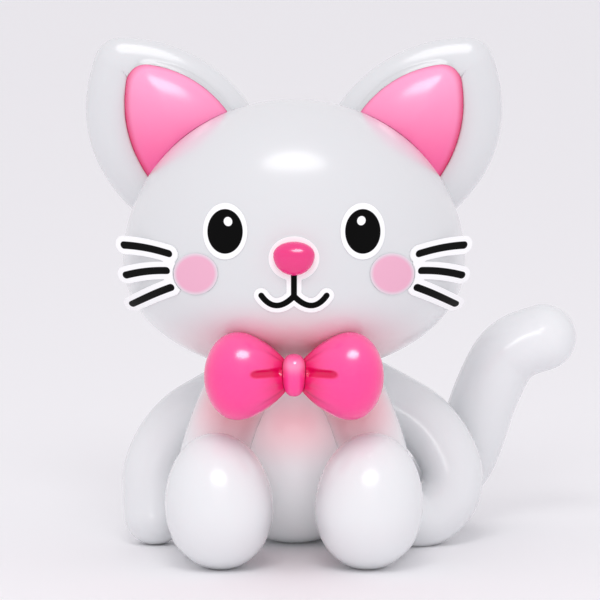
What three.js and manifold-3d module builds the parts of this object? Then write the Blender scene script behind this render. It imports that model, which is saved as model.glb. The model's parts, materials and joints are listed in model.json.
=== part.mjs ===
// A sitting cat made of air-filled latex balloons, with a bow tie and a sticker face.
// Millimetres, +Z up, the cat faces -Y. The origin is where the body balloon rests on the floor.

import * as THREE from 'three';
import * as BufferGeometryUtils from 'three/addons/utils/BufferGeometryUtils.js';
import { TessellateModifier } from 'three/addons/modifiers/TessellateModifier.js';
import Module from 'manifold-3d';

const wasm = await Module();
wasm.setup();

// Fits between neighbours
const contactGap = 0.3;
const floorPress = 2;
const neckPress = 25;

// Body and head balloons
const bodyHalfWidth = 80;
const bodyHalfDepth = 84;
const bodyHeight = 185;
const bodyWidestHeight = 85;
const headRadius = 154;
const headRise = 146;
const headDrop = 99;
const headForward = 25;

// Ear tubes and the pink balloons in them
const earTubeRadius = 25;
const earSetback = 64;
const earOuterFootShare = 0.83;
const earInnerFootShare = 0.4;
const earHeight = 101;
const earLean = 14;
const earBendSwell = 1.015;
const earBendDome = 0.3;
const earOuterBulge = 19;
const earInnerBulge = 13;
const innerEarInset = 7;
const innerEarPeak = 10.5;
const innerEarFootInset = 6;
const innerEarOuterBulge = 17.7;
const innerEarInnerBulge = 17;
const innerEarForward = 18;
const innerEarFrontDepth = 22;
const innerEarBackDepth = 30;
const innerEarRounding = 0.13;

// Paws, front legs and haunches
const pawRadius = 48.5;
const pawRise = 68;
const pawDrop = 56;
const pawSpread = 67;
const pawForward = 139;
const pawTilt = THREE.MathUtils.degToRad(5);
const frontLegRadius = 30;
const frontLegTopDrop = 13;
const frontLegTop = { spread: 53, forward: 62 };
const frontLegKnee = { spread: 80, forward: 77, heightShare: 0.6 };
const frontLegFoot = { spread: 82, forward: 88 };
const haunchRadius = 27.5;
const haunchHeight = 162;
const haunchPose = [
  { inward: 72, forward: -8, heightShare: 0.83 },
  { inward: 52, forward: -5, heightShare: 0.764 },
  { inward: 30, forward: 0, heightShare: 0.684 },
  { inward: 12, forward: 5, heightShare: 0.56 },
  { inward: 1, forward: 10, heightShare: 0.4 },
];
const haunchLowShare = (haunchRadius - floorPress / 2) / haunchHeight;
const haunchLeft = {
  reach: 155,
  foot: [
    { inward: 1, forward: 15, heightShare: 0.27 },
    { inward: 2, forward: 19, heightShare: haunchLowShare },
  ],
};
const haunchRight = {
  reach: 171,
  foot: [
    { inward: 4, forward: 15, heightShare: 0.27 },
    { inward: 22, forward: 22, heightShare: haunchLowShare },
    { inward: 52, forward: 30, heightShare: haunchLowShare },
  ],
};

// Tail
const tailRootRadius = 29;
const tailTipRadius = 30;
const tailReach = 255;
const tailHeight = 204;
const tailBack = 68;
const tailPose = [
  { reachShare: 0.151, behind: -2, heightShare: 0.194 },
  { reachShare: 0.331, behind: 16, heightShare: 0.137 },
  { reachShare: 0.477, behind: 16, heightShare: 0.167 },
  { reachShare: 0.582, behind: 8, heightShare: 0.27 },
  { reachShare: 0.629, behind: 4, heightShare: 0.397 },
  { reachShare: 0.677, behind: 0, heightShare: 0.583 },
  { reachShare: 0.747, behind: -2, heightShare: 0.76 },
  { reachShare: 0.8, behind: -4, heightShare: 0.816 },
];

// Bow tie
const bowHalfSpan = 80.5;
const loopHalfHeight = 40;
const loopSwell = [0.955, 0.3, -0.08, -0.04];
const loopFlatness = 0.77;
const loopNeckInset = 1.5;
const bowSeatDrop = 60;
const bowPress = 5;
const knotHalfWidth = 10.4;
const knotFullness = 0.74;
const knotRise = 15;
const knotDrop = 23;
const knotHalfDepth = 15;
const knotForward = 9;
const knotRaise = 6.4;

// Face
const stickerThickness = 0.6;
const stickerClearance = 0.8;
const whiskerThickness = 1.2;
const eyeSpread = 61.2;
const eyeRaise = 49.8;
const eyeHalfWidth = 19.7;
const eyeHalfHeight = 23.9;
const eyeTilt = THREE.MathUtils.degToRad(9.5);
const cheekSpread = 87.5;
const cheekRaise = 10.6;
const cheekHalfWidth = 20.4;
const cheekHalfHeight = 17.8;
const cheekTilt = THREE.MathUtils.degToRad(33);
const noseRaise = 28.8;
const noseHalfWidth = 18.6;
const noseRise = 12;
const noseDrop = 18.6;
const noseHalfDepth = 12;
const noseProud = 0.55;
const stickerBorder = 4;
const mouthLineWidth = 5.4;
const mouthHalfSpan = 29;
const mouthRaise = -4.2;
const mouthDip = 8.8;
const mouthBendShare = 0.57;
const whiskerLineWidth = 6.3;
const whiskerBorder = 4.5;
const whiskerStrokes = [
  { rootX: 111, rootRaise: 25.2, tipX: 151.4, tipRaise: 24.4 },
  { rootX: 113, rootRaise: 10.1, tipX: 149.5, tipRaise: -1.4 },
  { rootX: 109, rootRaise: -4.2, tipX: 144, tipRaise: -28.4 },
];
const whiskerBow = 1.3;
const whiskerLeaveX = 118;

// Facets
const headSegments = 30;
const headRings = 18;
const balloonSegments = 16;
const balloonRings = 11;
const tubeSides = 10;
const bendSegments = 14;
const bendRings = 9;
const earSteps = 7;
const frontLegSteps = 6;
const haunchSteps = 12;
const tailSteps = 18;
const capRings = 2;
const loopRings = 10;
const innerEarRings = 8;
const innerEarSidePoints = 5;
const stickerFacet = 17;
const stickerSplits = 6;
const strokeSteps = 4;
const stickerCurveSteps = 8;

const headCentre = new THREE.Vector3(0, -headForward, bodyHeight - neckPress + headDrop);
const loopHalfDepth = loopFlatness * loopHalfHeight;
const noseHalfHeight = (noseRise + noseDrop) / 2;

// Finishes
const whiteLatex = { color: 0xf4f5f7, roughness: 0.18, metalness: 0 };
const pinkLatex = { color: 0xff4f98, roughness: 0.15, metalness: 0 };
const rosePinkLatex = { color: 0xfb78b2, roughness: 0.18, metalness: 0 };
const printedVinyl = { color: 0xffffff, roughness: 0.35, metalness: 0 };
const blushVinyl = { color: 0xeeafd0, roughness: 0.45, metalness: 0 };

// Merges shared vertices and drops triangles that have collapsed at a pole.
function weld(geometry) {
  geometry.deleteAttribute('normal');
  geometry.deleteAttribute('uv');
  const welded = BufferGeometryUtils.mergeVertices(geometry, 1e-4);
  const old = welded.index.array;
  const kept = [];
  for (let i = 0; i < old.length; i += 3) {
    const [a, b, c] = [old[i], old[i + 1], old[i + 2]];
    if (a !== b && b !== c && c !== a) {
      kept.push(a, b, c);
    }
  }
  welded.setIndex(kept);
  return welded;
}

// Turns the faces round if they point into the piece.
function facingOut(geometry) {
  const shape = weld(geometry);
  const position = shape.attributes.position;
  const index = shape.index.array;
  const corners = [new THREE.Vector3(), new THREE.Vector3(), new THREE.Vector3()];
  let volume = 0;
  for (let i = 0; i < index.length; i += 3) {
    corners.forEach((corner, k) => corner.fromBufferAttribute(position, index[i + k]));
    volume += corners[0].dot(corners[1].clone().cross(corners[2]));
  }
  if (volume < 0) {
    index.reverse();
  }
  return shape;
}

function toManifold(geometry) {
  const welded = weld(geometry.clone());
  return new wasm.Manifold(new wasm.Mesh({
    numProp: 3,
    vertProperties: new Float32Array(welded.attributes.position.array),
    triVerts: new Uint32Array(welded.index.array),
  }));
}

function fromManifold(solid) {
  const mesh = solid.getMesh();
  const geometry = new THREE.BufferGeometry();
  geometry.setAttribute('position', new THREE.BufferAttribute(mesh.vertProperties, 3));
  geometry.setIndex(new THREE.BufferAttribute(mesh.triVerts, 1));
  return geometry;
}

// The same shape, larger by the gap on every side.
function grown(geometry, gap) {
  const shape = weld(geometry.clone());
  shape.computeVertexNormals();
  const position = shape.attributes.position;
  const normal = shape.attributes.normal;
  for (let i = 0; i < position.count; i++) {
    position.setXYZ(
      i,
      position.getX(i) + normal.getX(i) * gap,
      position.getY(i) + normal.getY(i) * gap,
      position.getZ(i) + normal.getZ(i) * gap,
    );
  }
  return shape;
}

// Presses a balloon against firmer neighbours, which dent it and leave a hair of air.
function pressed(geometry, ...neighbours) {
  let solid = toManifold(geometry);
  for (const neighbour of neighbours) {
    solid = solid.subtract(toManifold(grown(neighbour, contactGap)));
  }
  return fromManifold(solid);
}

function joined(...geometries) {
  let solid = toManifold(geometries[0]);
  for (const geometry of geometries.slice(1)) {
    solid = solid.add(toManifold(geometry));
  }
  return fromManifold(solid);
}

function cutOut(geometry, hole) {
  return fromManifold(toManifold(geometry).subtract(toManifold(hole)));
}

// Flattens what would reach below the floor.
function stoodOnFloor(geometry) {
  const block = new THREE.BoxGeometry(4 * headRadius, 4 * headRadius, headRadius);
  block.translate(0, 0, -headRadius / 2);
  return cutOut(geometry, block);
}

// A round balloon about the vertical, with its own rise and drop from the widest circle.
// A fullness below 1 makes it more of a barrel.
function eggBalloon(radius, rise, drop, segments, rings, fullness = 1) {
  const profile = [];
  for (let i = 0; i <= rings; i++) {
    const angle = Math.PI * (i / rings - 0.5);
    const height = angle < 0 ? drop : rise;
    const along = Math.sin(angle);
    const reach = i === 0 || i === rings ? 0 : radius * Math.cos(angle) ** fullness;
    profile.push(new THREE.Vector2(reach, height * Math.sign(along) * Math.abs(along) ** fullness));
  }
  const geometry = new THREE.LatheGeometry(profile, segments);
  geometry.rotateX(Math.PI / 2);
  return geometry;
}

// A tube balloon with domed ends, turned straight and then bent along its spine.
function bentBalloon(spine, radiusAt, steps, endDome = 1) {
  const stations = [];
  for (let i = 0; i < capRings; i++) {
    const angle = (Math.PI / 2) * (i / capRings);
    const radius = radiusAt(0);
    stations.push({ at: 0, shift: -radius * Math.cos(angle), radius: radius * Math.sin(angle) });
  }
  for (let i = 0; i <= steps; i++) {
    stations.push({ at: i / steps, shift: 0, radius: radiusAt(i / steps) });
  }
  for (let i = capRings - 1; i >= 0; i--) {
    const angle = (Math.PI / 2) * (i / capRings);
    const radius = radiusAt(1);
    stations.push({ at: 1, shift: endDome * radius * Math.cos(angle), radius: radius * Math.sin(angle) });
  }
  const normal = new THREE.Vector3(0, 1, 0);
  for (const station of stations) {
    station.tangent = spine.getTangentAt(station.at);
    station.centre = spine.getPointAt(station.at).addScaledVector(station.tangent, station.shift);
    normal.addScaledVector(station.tangent, -normal.dot(station.tangent)).normalize();
    station.normal = normal.clone();
    station.binormal = new THREE.Vector3().crossVectors(station.normal, station.tangent);
  }
  const profile = stations.map((station, i) => new THREE.Vector2(station.radius, i));
  const geometry = new THREE.LatheGeometry(profile, tubeSides);
  const position = geometry.attributes.position;
  const point = new THREE.Vector3();
  for (let i = 0; i < position.count; i++) {
    const station = stations[Math.round(position.getY(i))];
    point.copy(station.centre);
    point.addScaledVector(station.normal, position.getX(i));
    point.addScaledVector(station.binormal, position.getZ(i));
    position.setXYZ(i, point.x, point.y, point.z);
  }
  return geometry;
}

// The head's radius at a height above its widest circle.
function headRadiusAt(raise) {
  const share = raise / (raise > 0 ? headRise : headDrop);
  return headRadius * Math.sqrt(Math.max(0, 1 - share * share));
}

// The height above the widest circle at which the head's crown has this distance from its axis.
function crownHeightAt(distance) {
  return headRise * Math.sqrt(1 - (distance / headRadius) ** 2);
}

// A point in front of the face, at x and a height above the widest circle, lifted off the skin.
function onFace(x, raise, lift) {
  const radius = headRadiusAt(raise);
  const depth = Math.sqrt(Math.max(0, radius * radius - x * x));
  const rise = raise > 0 ? headRise : headDrop;
  const normal = new THREE.Vector3(
    x / headRadius ** 2,
    -depth / headRadius ** 2,
    raise / rise ** 2,
  ).normalize();
  return new THREE.Vector3(x, -depth, raise).addScaledVector(normal, lift).add(headCentre);
}

// The bow's loops press against the chin.
const bowCentre = onFace(0, -bowSeatDrop, loopHalfDepth - bowPress);

// The same for a stiff piece, which goes straight on where it leaves the head.
function pastFace(x, raise, lift) {
  const leave = Math.min(Math.abs(x), whiskerLeaveX) * Math.sign(x);
  const root = onFace(leave, raise, lift);
  const depth = Math.sqrt(headRadiusAt(raise) ** 2 - leave * leave);
  const beyond = x - leave;
  return root.add(new THREE.Vector3(beyond, (beyond * leave) / depth, 0));
}

// Lays a flat piece, drawn in x and y with its thickness in z, on the face.
function laidOnFace(flat, place) {
  const geometry = flat.index ? flat.toNonIndexed() : flat;
  const fine = new TessellateModifier(stickerFacet, stickerSplits).modify(geometry);
  const position = fine.attributes.position;
  for (let i = 0; i < position.count; i++) {
    const point = place(position.getX(i), position.getY(i), contactGap + position.getZ(i));
    position.setXYZ(i, point.x, point.y, point.z);
  }
  return weld(fine);
}

// A flat oval with its own thickness, turned about its middle.
function flatOval(x, raise, halfWidth, halfHeight, thickness, turn = 0) {
  const oval = new THREE.Shape();
  oval.absellipse(x, raise, halfWidth, halfHeight, 0, 2 * Math.PI, false, turn);
  const settings = { depth: thickness, bevelEnabled: false, curveSegments: stickerCurveSteps };
  return new THREE.ExtrudeGeometry(oval, settings);
}

// A flat brush stroke with round ends along a plane curve.
function flatStroke(curve, halfWidth, thickness) {
  const left = [];
  const right = [];
  const ends = [];
  for (let i = 0; i <= strokeSteps; i++) {
    const point = curve.getPointAt(i / strokeSteps);
    const tangent = curve.getTangentAt(i / strokeSteps);
    left.push(new THREE.Vector2(point.x - tangent.y * halfWidth, point.y + tangent.x * halfWidth));
    right.unshift(new THREE.Vector2(point.x + tangent.y * halfWidth, point.y - tangent.x * halfWidth));
  }
  for (const at of [1, 0]) {
    const point = curve.getPointAt(at);
    const tangent = curve.getTangentAt(at);
    const heading = Math.atan2(tangent.y, tangent.x) + (at === 1 ? Math.PI / 2 : -Math.PI / 2);
    const arc = [];
    for (let i = 1; i < strokeSteps; i++) {
      const angle = heading - (Math.PI * i) / strokeSteps;
      arc.push(new THREE.Vector2(
        point.x + halfWidth * Math.cos(angle),
        point.y + halfWidth * Math.sin(angle),
      ));
    }
    ends.push(arc);
  }
  const outline = new THREE.Shape([...left, ...ends[0], ...right, ...ends[1]]);
  return new THREE.ExtrudeGeometry(outline, { depth: thickness, bevelEnabled: false });
}

function makeBody() {
  const body = eggBalloon(
    bodyHalfWidth,
    bodyHeight - bodyWidestHeight,
    bodyWidestHeight + floorPress,
    balloonSegments,
    balloonRings,
  );
  body.scale(1, bodyHalfDepth / bodyHalfWidth, 1);
  body.translate(0, 0, bodyWidestHeight);
  return body;
}

function makeHead() {
  const head = eggBalloon(headRadius, headRise, headDrop, headSegments, headRings);
  head.translate(headCentre.x, headCentre.y, headCentre.z);
  return head;
}

// The two feet of an ear on the head and its tip, on the tube's centre line.
function earPoints(side) {
  const feet = [earOuterFootShare, earInnerFootShare].map((share) => {
    const x = share * headRadius;
    const height = crownHeightAt(Math.hypot(x, earSetback));
    return new THREE.Vector3(side * x, earSetback, height).add(headCentre);
  });
  const [outer, inner] = feet;
  const across = inner.clone().sub(outer).normalize();
  const up = new THREE.Vector3(side * Math.abs(across.z), 0, Math.abs(across.x));
  const tip = outer.clone().add(inner).multiplyScalar(0.5);
  tip.addScaledVector(up, earHeight).addScaledVector(across, earLean);
  return { outer, inner, tip, up };
}

// A point beside the middle of a leg, so that the leg bows outward by the bulge.
function bowedMiddle(from, to, away, bulge) {
  const along = to.clone().sub(from).normalize();
  const aside = away.clone().addScaledVector(along, -away.dot(along)).normalize();
  return from.clone().add(to).multiplyScalar(0.5).addScaledVector(aside, 2 * bulge);
}

function makeEar(side) {
  const { outer, inner, tip } = earPoints(side);
  const outward = new THREE.Vector3(side, 0, 0);
  const upward = new THREE.Vector3(0, 0, 1);
  const outerSpine = new THREE.QuadraticBezierCurve3(
    outer,
    bowedMiddle(outer, tip, outward, earOuterBulge),
    tip,
  );
  const innerSpine = new THREE.QuadraticBezierCurve3(
    inner,
    bowedMiddle(inner, tip, upward, earInnerBulge),
    tip,
  );
  const bend = new THREE.SphereGeometry(earBendSwell * earTubeRadius, bendSegments, bendRings);
  bend.translate(tip.x, tip.y, tip.z);
  const radiusAt = () => earTubeRadius;
  return joined(
    bentBalloon(outerSpine, radiusAt, earSteps, earBendDome),
    bentBalloon(innerSpine, radiusAt, earSteps, earBendDome),
    bend,
  );
}

// The outline of the pink balloon in an ear: a triangle with bowed sides and rounded corners.
function innerEarOutline(side) {
  const { outer, inner, tip, up } = earPoints(side);
  const down = up.clone().negate();
  const inward = new THREE.Vector3(-side * innerEarFootInset, 0, 0);
  const corners = [
    tip.clone().add(new THREE.Vector3(-side * innerEarInset, 0, innerEarPeak)),
    outer.clone().addScaledVector(down, innerEarInset).add(inward),
    inner.clone().add(new THREE.Vector3(-side * 2 * innerEarInset, 0, 0)),
  ];
  const bulges = [innerEarOuterBulge, 0, innerEarInnerBulge];
  const aways = [new THREE.Vector3(side, 0, 0), down, new THREE.Vector3(0, 0, 1)];
  const sides = corners.map((from, i) => {
    const to = corners[(i + 1) % corners.length];
    return new THREE.QuadraticBezierCurve3(from, bowedMiddle(from, to, aways[i], bulges[i]), to);
  });
  const points = [];
  sides.forEach((edge, i) => {
    const next = sides[(i + 1) % sides.length];
    for (let k = 0; k < innerEarSidePoints; k++) {
      const share = k / (innerEarSidePoints - 1);
      points.push(edge.getPointAt(innerEarRounding + (1 - 2 * innerEarRounding) * share));
    }
    const corner = new THREE.QuadraticBezierCurve3(
      edge.getPointAt(1 - innerEarRounding),
      edge.getPointAt(1),
      next.getPointAt(innerEarRounding),
    );
    points.push(corner.getPoint(1 / 3), corner.getPoint(2 / 3));
  });
  return points;
}

// A pillow of air behind and in front of its outline, which is fullest in the middle.
function makeInnerEar(side) {
  const outline = innerEarOutline(side);
  const middle = new THREE.Vector3();
  outline.forEach((point) => middle.add(point));
  middle.divideScalar(outline.length);
  const profile = [];
  for (let i = 0; i <= innerEarRings; i++) {
    const angle = Math.PI * (i / innerEarRings - 0.5);
    const depth = angle < 0 ? innerEarFrontDepth : innerEarBackDepth;
    const reach = i === 0 || i === innerEarRings ? 0 : Math.cos(angle);
    profile.push(new THREE.Vector2(reach, depth * Math.sin(angle)));
  }
  const geometry = new THREE.LatheGeometry(profile, outline.length);
  const position = geometry.attributes.position;
  const point = new THREE.Vector3();
  const turn = -side;
  for (let i = 0; i < position.count; i++) {
    const heading = Math.atan2(position.getX(i), position.getZ(i));
    const reach = Math.hypot(position.getX(i), position.getZ(i));
    const count = outline.length;
    const step = (Math.round((turn * heading * count) / (2 * Math.PI)) + 2 * count) % count;
    point.copy(middle).lerp(outline[step], reach);
    position.setXYZ(i, point.x, point.y - innerEarForward + position.getY(i), point.z);
  }
  return facingOut(geometry);
}

function makePaw(side) {
  const paw = eggBalloon(pawRadius, pawRise, pawDrop, balloonSegments, balloonRings);
  paw.rotateY(side * pawTilt);
  paw.translate(side * pawSpread, -pawForward, pawDrop - floorPress / 2);
  return paw;
}

function makeFrontLeg(side) {
  const top = bodyHeight - frontLegTopDrop - frontLegRadius;
  const knee = frontLegKnee.heightShare * top;
  const foot = frontLegRadius - floorPress / 2;
  const spine = new THREE.QuadraticBezierCurve3(
    new THREE.Vector3(side * frontLegTop.spread, -frontLegTop.forward, top),
    new THREE.Vector3(side * frontLegKnee.spread, -frontLegKnee.forward, knee),
    new THREE.Vector3(side * frontLegFoot.spread, -frontLegFoot.forward, foot),
  );
  return bentBalloon(spine, () => frontLegRadius, frontLegSteps);
}

// A fat tube that comes down the flank to the floor; the right one turns in behind the paw.
function makeHaunch(side, { reach, foot }) {
  const outer = reach - haunchRadius;
  const spine = new THREE.CatmullRomCurve3([...haunchPose, ...foot].map((pose) => (
    new THREE.Vector3(side * (outer - pose.inward), -pose.forward, pose.heightShare * haunchHeight)
  )));
  return bentBalloon(spine, () => haunchRadius, haunchSteps);
}

// The tail lies on the floor behind the body, then rises beside the haunch and bends outward.
function makeTail() {
  const points = tailPose.map(({ reachShare, behind, heightShare }) => (
    new THREE.Vector3(reachShare * tailReach, tailBack + behind, heightShare * tailHeight)
  ));
  points.push(new THREE.Vector3(
    tailReach - tailTipRadius,
    points.at(-1).y,
    tailHeight - tailTipRadius,
  ));
  const spine = new THREE.CatmullRomCurve3(points);
  const radiusAt = (share) => THREE.MathUtils.lerp(tailRootRadius, tailTipRadius, share);
  return bentBalloon(spine, radiusAt, tailSteps);
}

// A loop of the bow: an egg lying on its side, with its narrow end in the knot.
function makeBowLoop(side) {
  const halfLength = (bowHalfSpan - loopNeckInset) / 2;
  const profile = [];
  for (let i = 0; i <= loopRings; i++) {
    const angle = Math.PI * (i / loopRings - 0.5);
    const along = Math.sin(angle);
    const swell = loopSwell.reduceRight((sum, factor) => sum * along + factor, 0);
    const reach = i === 0 || i === loopRings ? 0 : Math.cos(angle) * swell;
    profile.push(new THREE.Vector2(loopHalfHeight * reach, halfLength * along));
  }
  const loop = new THREE.LatheGeometry(profile, balloonSegments);
  loop.rotateZ((-side * Math.PI) / 2);
  loop.scale(1, loopFlatness, 1);
  loop.translate(side * (bowHalfSpan - halfLength), bowCentre.y, bowCentre.z);
  return loop;
}

function makeBowKnot() {
  const knot = eggBalloon(knotHalfWidth, knotRise, knotDrop, tubeSides, loopRings, knotFullness);
  knot.scale(1, knotHalfDepth / knotHalfWidth, 1);
  knot.translate(0, bowCentre.y - knotForward, bowCentre.z + knotRaise);
  return knot;
}

function makeNose() {
  const nose = eggBalloon(noseHalfWidth, noseRise, noseDrop, tubeSides, loopRings);
  nose.scale(1, noseHalfDepth / noseHalfWidth, 1);
  const place = onFace(0, noseRaise, noseHalfDepth * noseProud);
  nose.translate(place.x, place.y, place.z + (noseDrop - noseRise) / 2);
  return nose;
}

function makeEyeSticker(side) {
  const flat = flatOval(
    side * eyeSpread,
    eyeRaise,
    eyeHalfWidth,
    eyeHalfHeight,
    stickerThickness,
    side * eyeTilt,
  );
  return laidOnFace(flat, onFace);
}

function makeCheekSticker(side) {
  const flat = flatOval(
    side * cheekSpread,
    cheekRaise,
    cheekHalfWidth,
    cheekHalfHeight,
    stickerThickness,
    -side * cheekTilt,
  );
  return laidOnFace(flat, onFace);
}

// The face under the nose with the sticker's pad on it, as deep as the nose.
function makeNoseBed() {
  const bed = flatOval(
    0,
    noseRaise,
    noseHalfWidth + stickerBorder,
    noseHalfHeight + stickerBorder,
    stickerThickness + 2 * noseHalfDepth,
  );
  bed.translate(0, 0, -2 * noseHalfDepth);
  return laidOnFace(bed, onFace);
}

// The smile, the line up to the nose and the pad behind the nose, cut out as one.
function makeMouthSticker() {
  const halfWidth = mouthLineWidth / 2 + stickerBorder;
  const fork = new THREE.Vector2(0, mouthRaise);
  const smiles = [-1, 1].map((side) => new THREE.QuadraticBezierCurve(
    fork,
    new THREE.Vector2(side * mouthBendShare * mouthHalfSpan, mouthRaise - 2 * mouthDip),
    new THREE.Vector2(side * mouthHalfSpan, mouthRaise),
  ));
  const line = new THREE.LineCurve(new THREE.Vector2(0, noseRaise), fork);
  const strokes = [...smiles, line].map((curve) => flatStroke(curve, halfWidth, stickerThickness));
  const pad = flatOval(
    0,
    noseRaise,
    noseHalfWidth + stickerBorder,
    noseHalfHeight + stickerBorder,
    stickerThickness,
  );
  return laidOnFace(joined(pad, ...strokes), onFace);
}

// Three whiskers on one stiff cut-out, which leaves the head beside the cheek.
function makeWhiskers(side) {
  const halfWidth = whiskerLineWidth / 2 + whiskerBorder;
  const strokes = whiskerStrokes.map(({ rootX, rootRaise, tipX, tipRaise }) => {
    const root = new THREE.Vector2(side * rootX, rootRaise);
    const tip = new THREE.Vector2(side * tipX, tipRaise);
    const middle = root.clone().add(tip).multiplyScalar(0.5);
    middle.y += 2 * whiskerBow;
    return flatStroke(new THREE.QuadraticBezierCurve(root, middle, tip), halfWidth, whiskerThickness);
  });
  const roots = whiskerStrokes.map(({ rootX, rootRaise }) => new THREE.Vector2(side * rootX, rootRaise));
  const web = flatStroke(new THREE.LineCurve(roots[0], roots.at(-1)), whiskerBorder, whiskerThickness);
  const cheek = flatOval(
    side * cheekSpread,
    cheekRaise,
    cheekHalfWidth + stickerClearance,
    cheekHalfHeight + stickerClearance,
    3 * whiskerThickness,
    -side * cheekTilt,
  );
  cheek.translate(0, 0, -whiskerThickness);
  return laidOnFace(cutOut(joined(web, ...strokes), cheek), pastFace);
}

const model = new THREE.Group();

function addPiece(name, geometry, finish) {
  const mesh = new THREE.Mesh(geometry, new THREE.MeshStandardMaterial(finish));
  mesh.name = name;
  model.add(mesh);
}

const sides = [
  { name: 'left', sign: -1, haunchForm: haunchLeft },
  { name: 'right', sign: 1, haunchForm: haunchRight },
];

const head = makeHead();
const body = makeBody();
addPiece('head', head, whiteLatex);
addPiece('body', stoodOnFloor(pressed(body, head)), whiteLatex);

const knot = makeBowKnot();
addPiece('bow_knot', pressed(knot, head), pinkLatex);

for (const { name, sign, haunchForm } of sides) {
  const innerEar = makeInnerEar(sign);
  addPiece(`ear_${name}`, pressed(makeEar(sign), head, innerEar), whiteLatex);
  addPiece(`inner_ear_${name}`, pressed(innerEar, head), rosePinkLatex);

  const paw = makePaw(sign);
  const frontLeg = makeFrontLeg(sign);
  const haunch = makeHaunch(sign, haunchForm);
  addPiece(`paw_${name}`, stoodOnFloor(paw), whiteLatex);
  addPiece(`front_leg_${name}`, stoodOnFloor(pressed(frontLeg, head, body, paw)), whiteLatex);
  addPiece(`haunch_${name}`, stoodOnFloor(pressed(haunch, head, body, paw, frontLeg)), whiteLatex);

  addPiece(`bow_loop_${name}`, pressed(makeBowLoop(sign), head, knot), pinkLatex);
  addPiece(`eye_${name}`, makeEyeSticker(sign), printedVinyl);
  addPiece(`cheek_${name}`, makeCheekSticker(sign), blushVinyl);
  addPiece(`whiskers_${name}`, makeWhiskers(sign), printedVinyl);
}

const haunchByTail = makeHaunch(1, haunchRight);
addPiece('tail', stoodOnFloor(pressed(makeTail(), body, haunchByTail)), whiteLatex);

addPiece('mouth', makeMouthSticker(), printedVinyl);
addPiece('nose', pressed(makeNose(), makeNoseBed()), pinkLatex);

export default model;
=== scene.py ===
"""A sitting cat built of air-filled latex balloons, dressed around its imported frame.

Lengths are millimetres until a mesh is made, and +Z is up. The cat faces -Y.
"""

import json
import logging
import math
from dataclasses import dataclass, field
from enum import Enum
from typing import Callable, Mapping, Sequence, Union

import bpy
import numpy as np
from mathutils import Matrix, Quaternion, Vector

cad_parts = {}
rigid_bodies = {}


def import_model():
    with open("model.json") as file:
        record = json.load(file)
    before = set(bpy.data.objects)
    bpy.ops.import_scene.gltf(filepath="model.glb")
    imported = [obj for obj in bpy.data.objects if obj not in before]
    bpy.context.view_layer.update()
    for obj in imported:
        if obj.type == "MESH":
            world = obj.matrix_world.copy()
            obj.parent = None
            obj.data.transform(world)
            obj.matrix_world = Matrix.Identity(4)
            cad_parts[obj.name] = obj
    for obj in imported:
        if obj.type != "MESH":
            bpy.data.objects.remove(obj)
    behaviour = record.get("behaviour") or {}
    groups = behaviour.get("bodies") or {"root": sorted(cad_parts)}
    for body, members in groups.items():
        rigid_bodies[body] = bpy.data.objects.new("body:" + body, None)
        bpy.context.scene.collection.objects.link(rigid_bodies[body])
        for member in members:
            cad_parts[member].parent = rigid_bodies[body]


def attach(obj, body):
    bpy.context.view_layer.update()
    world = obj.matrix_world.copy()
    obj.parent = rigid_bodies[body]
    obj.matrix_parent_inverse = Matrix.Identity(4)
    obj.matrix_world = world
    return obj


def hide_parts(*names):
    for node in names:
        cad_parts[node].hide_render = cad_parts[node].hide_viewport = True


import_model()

LOG = logging.getLogger("balloon_cat")
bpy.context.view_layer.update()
MM = 0.001
BODY = "root"
AIR_GAP = 0.3

# The smallest length, and the smallest share of a radius, that anything is divided by.
NO_LENGTH = 1e-12
NO_SHARE = 1e-6

# Stickers: the room around one on its cutting grid, a distance well off the ink, and the points
# along a printed stroke.
GRID_MARGIN = 1.0
CLEAR_OF_INK = 5.0
STROKE_POINTS = 33

Array = np.ndarray
Colour = tuple[float, float, float, float]
Place = tuple[float, float, float]
Spot = tuple[float, float]


def unit(vector: Array) -> Array:
    """Return the vectors of an array scaled to length one."""
    return vector / np.maximum(np.linalg.norm(vector, axis=-1, keepdims=True), NO_LENGTH)


def smooth_step(value: Array, low: float, high: float) -> Array:
    """Return a soft step from 0 at low to 1 at high."""
    share = np.clip((value - low) / (high - low), 0.0, 1.0)
    return share * share * (3.0 - 2.0 * share)


def bent(start: Array, corner: Array, end: Array, share: Array) -> Array:
    """Return points on a curve that a corner pulls aside.

    Args:
        start: The curve's first point.
        corner: The point that it bends towards.
        end: Its last point.
        share: Shares of the way, as a column.

    Returns:
        The points, one a row.
    """
    return start * (1 - share) ** 2 + corner * 2 * share * (1 - share) + end * share ** 2


class Side(Enum):
    """The two sides of the cat, as the viewer sees them."""

    LEFT = -1
    RIGHT = 1

    @property
    def label(self) -> str:
        """Return the side's word in a piece's name."""
        return self.name.lower()


class Slot(Enum):
    """The material slots of the record."""

    WHITE = "white_latex"
    ROSE = "rose_latex"
    HOT_PINK = "hot_pink_latex"
    PRINT = "printed_vinyl"
    BLUSH = "blush_vinyl"


Number = Union["Signal", float]


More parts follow.
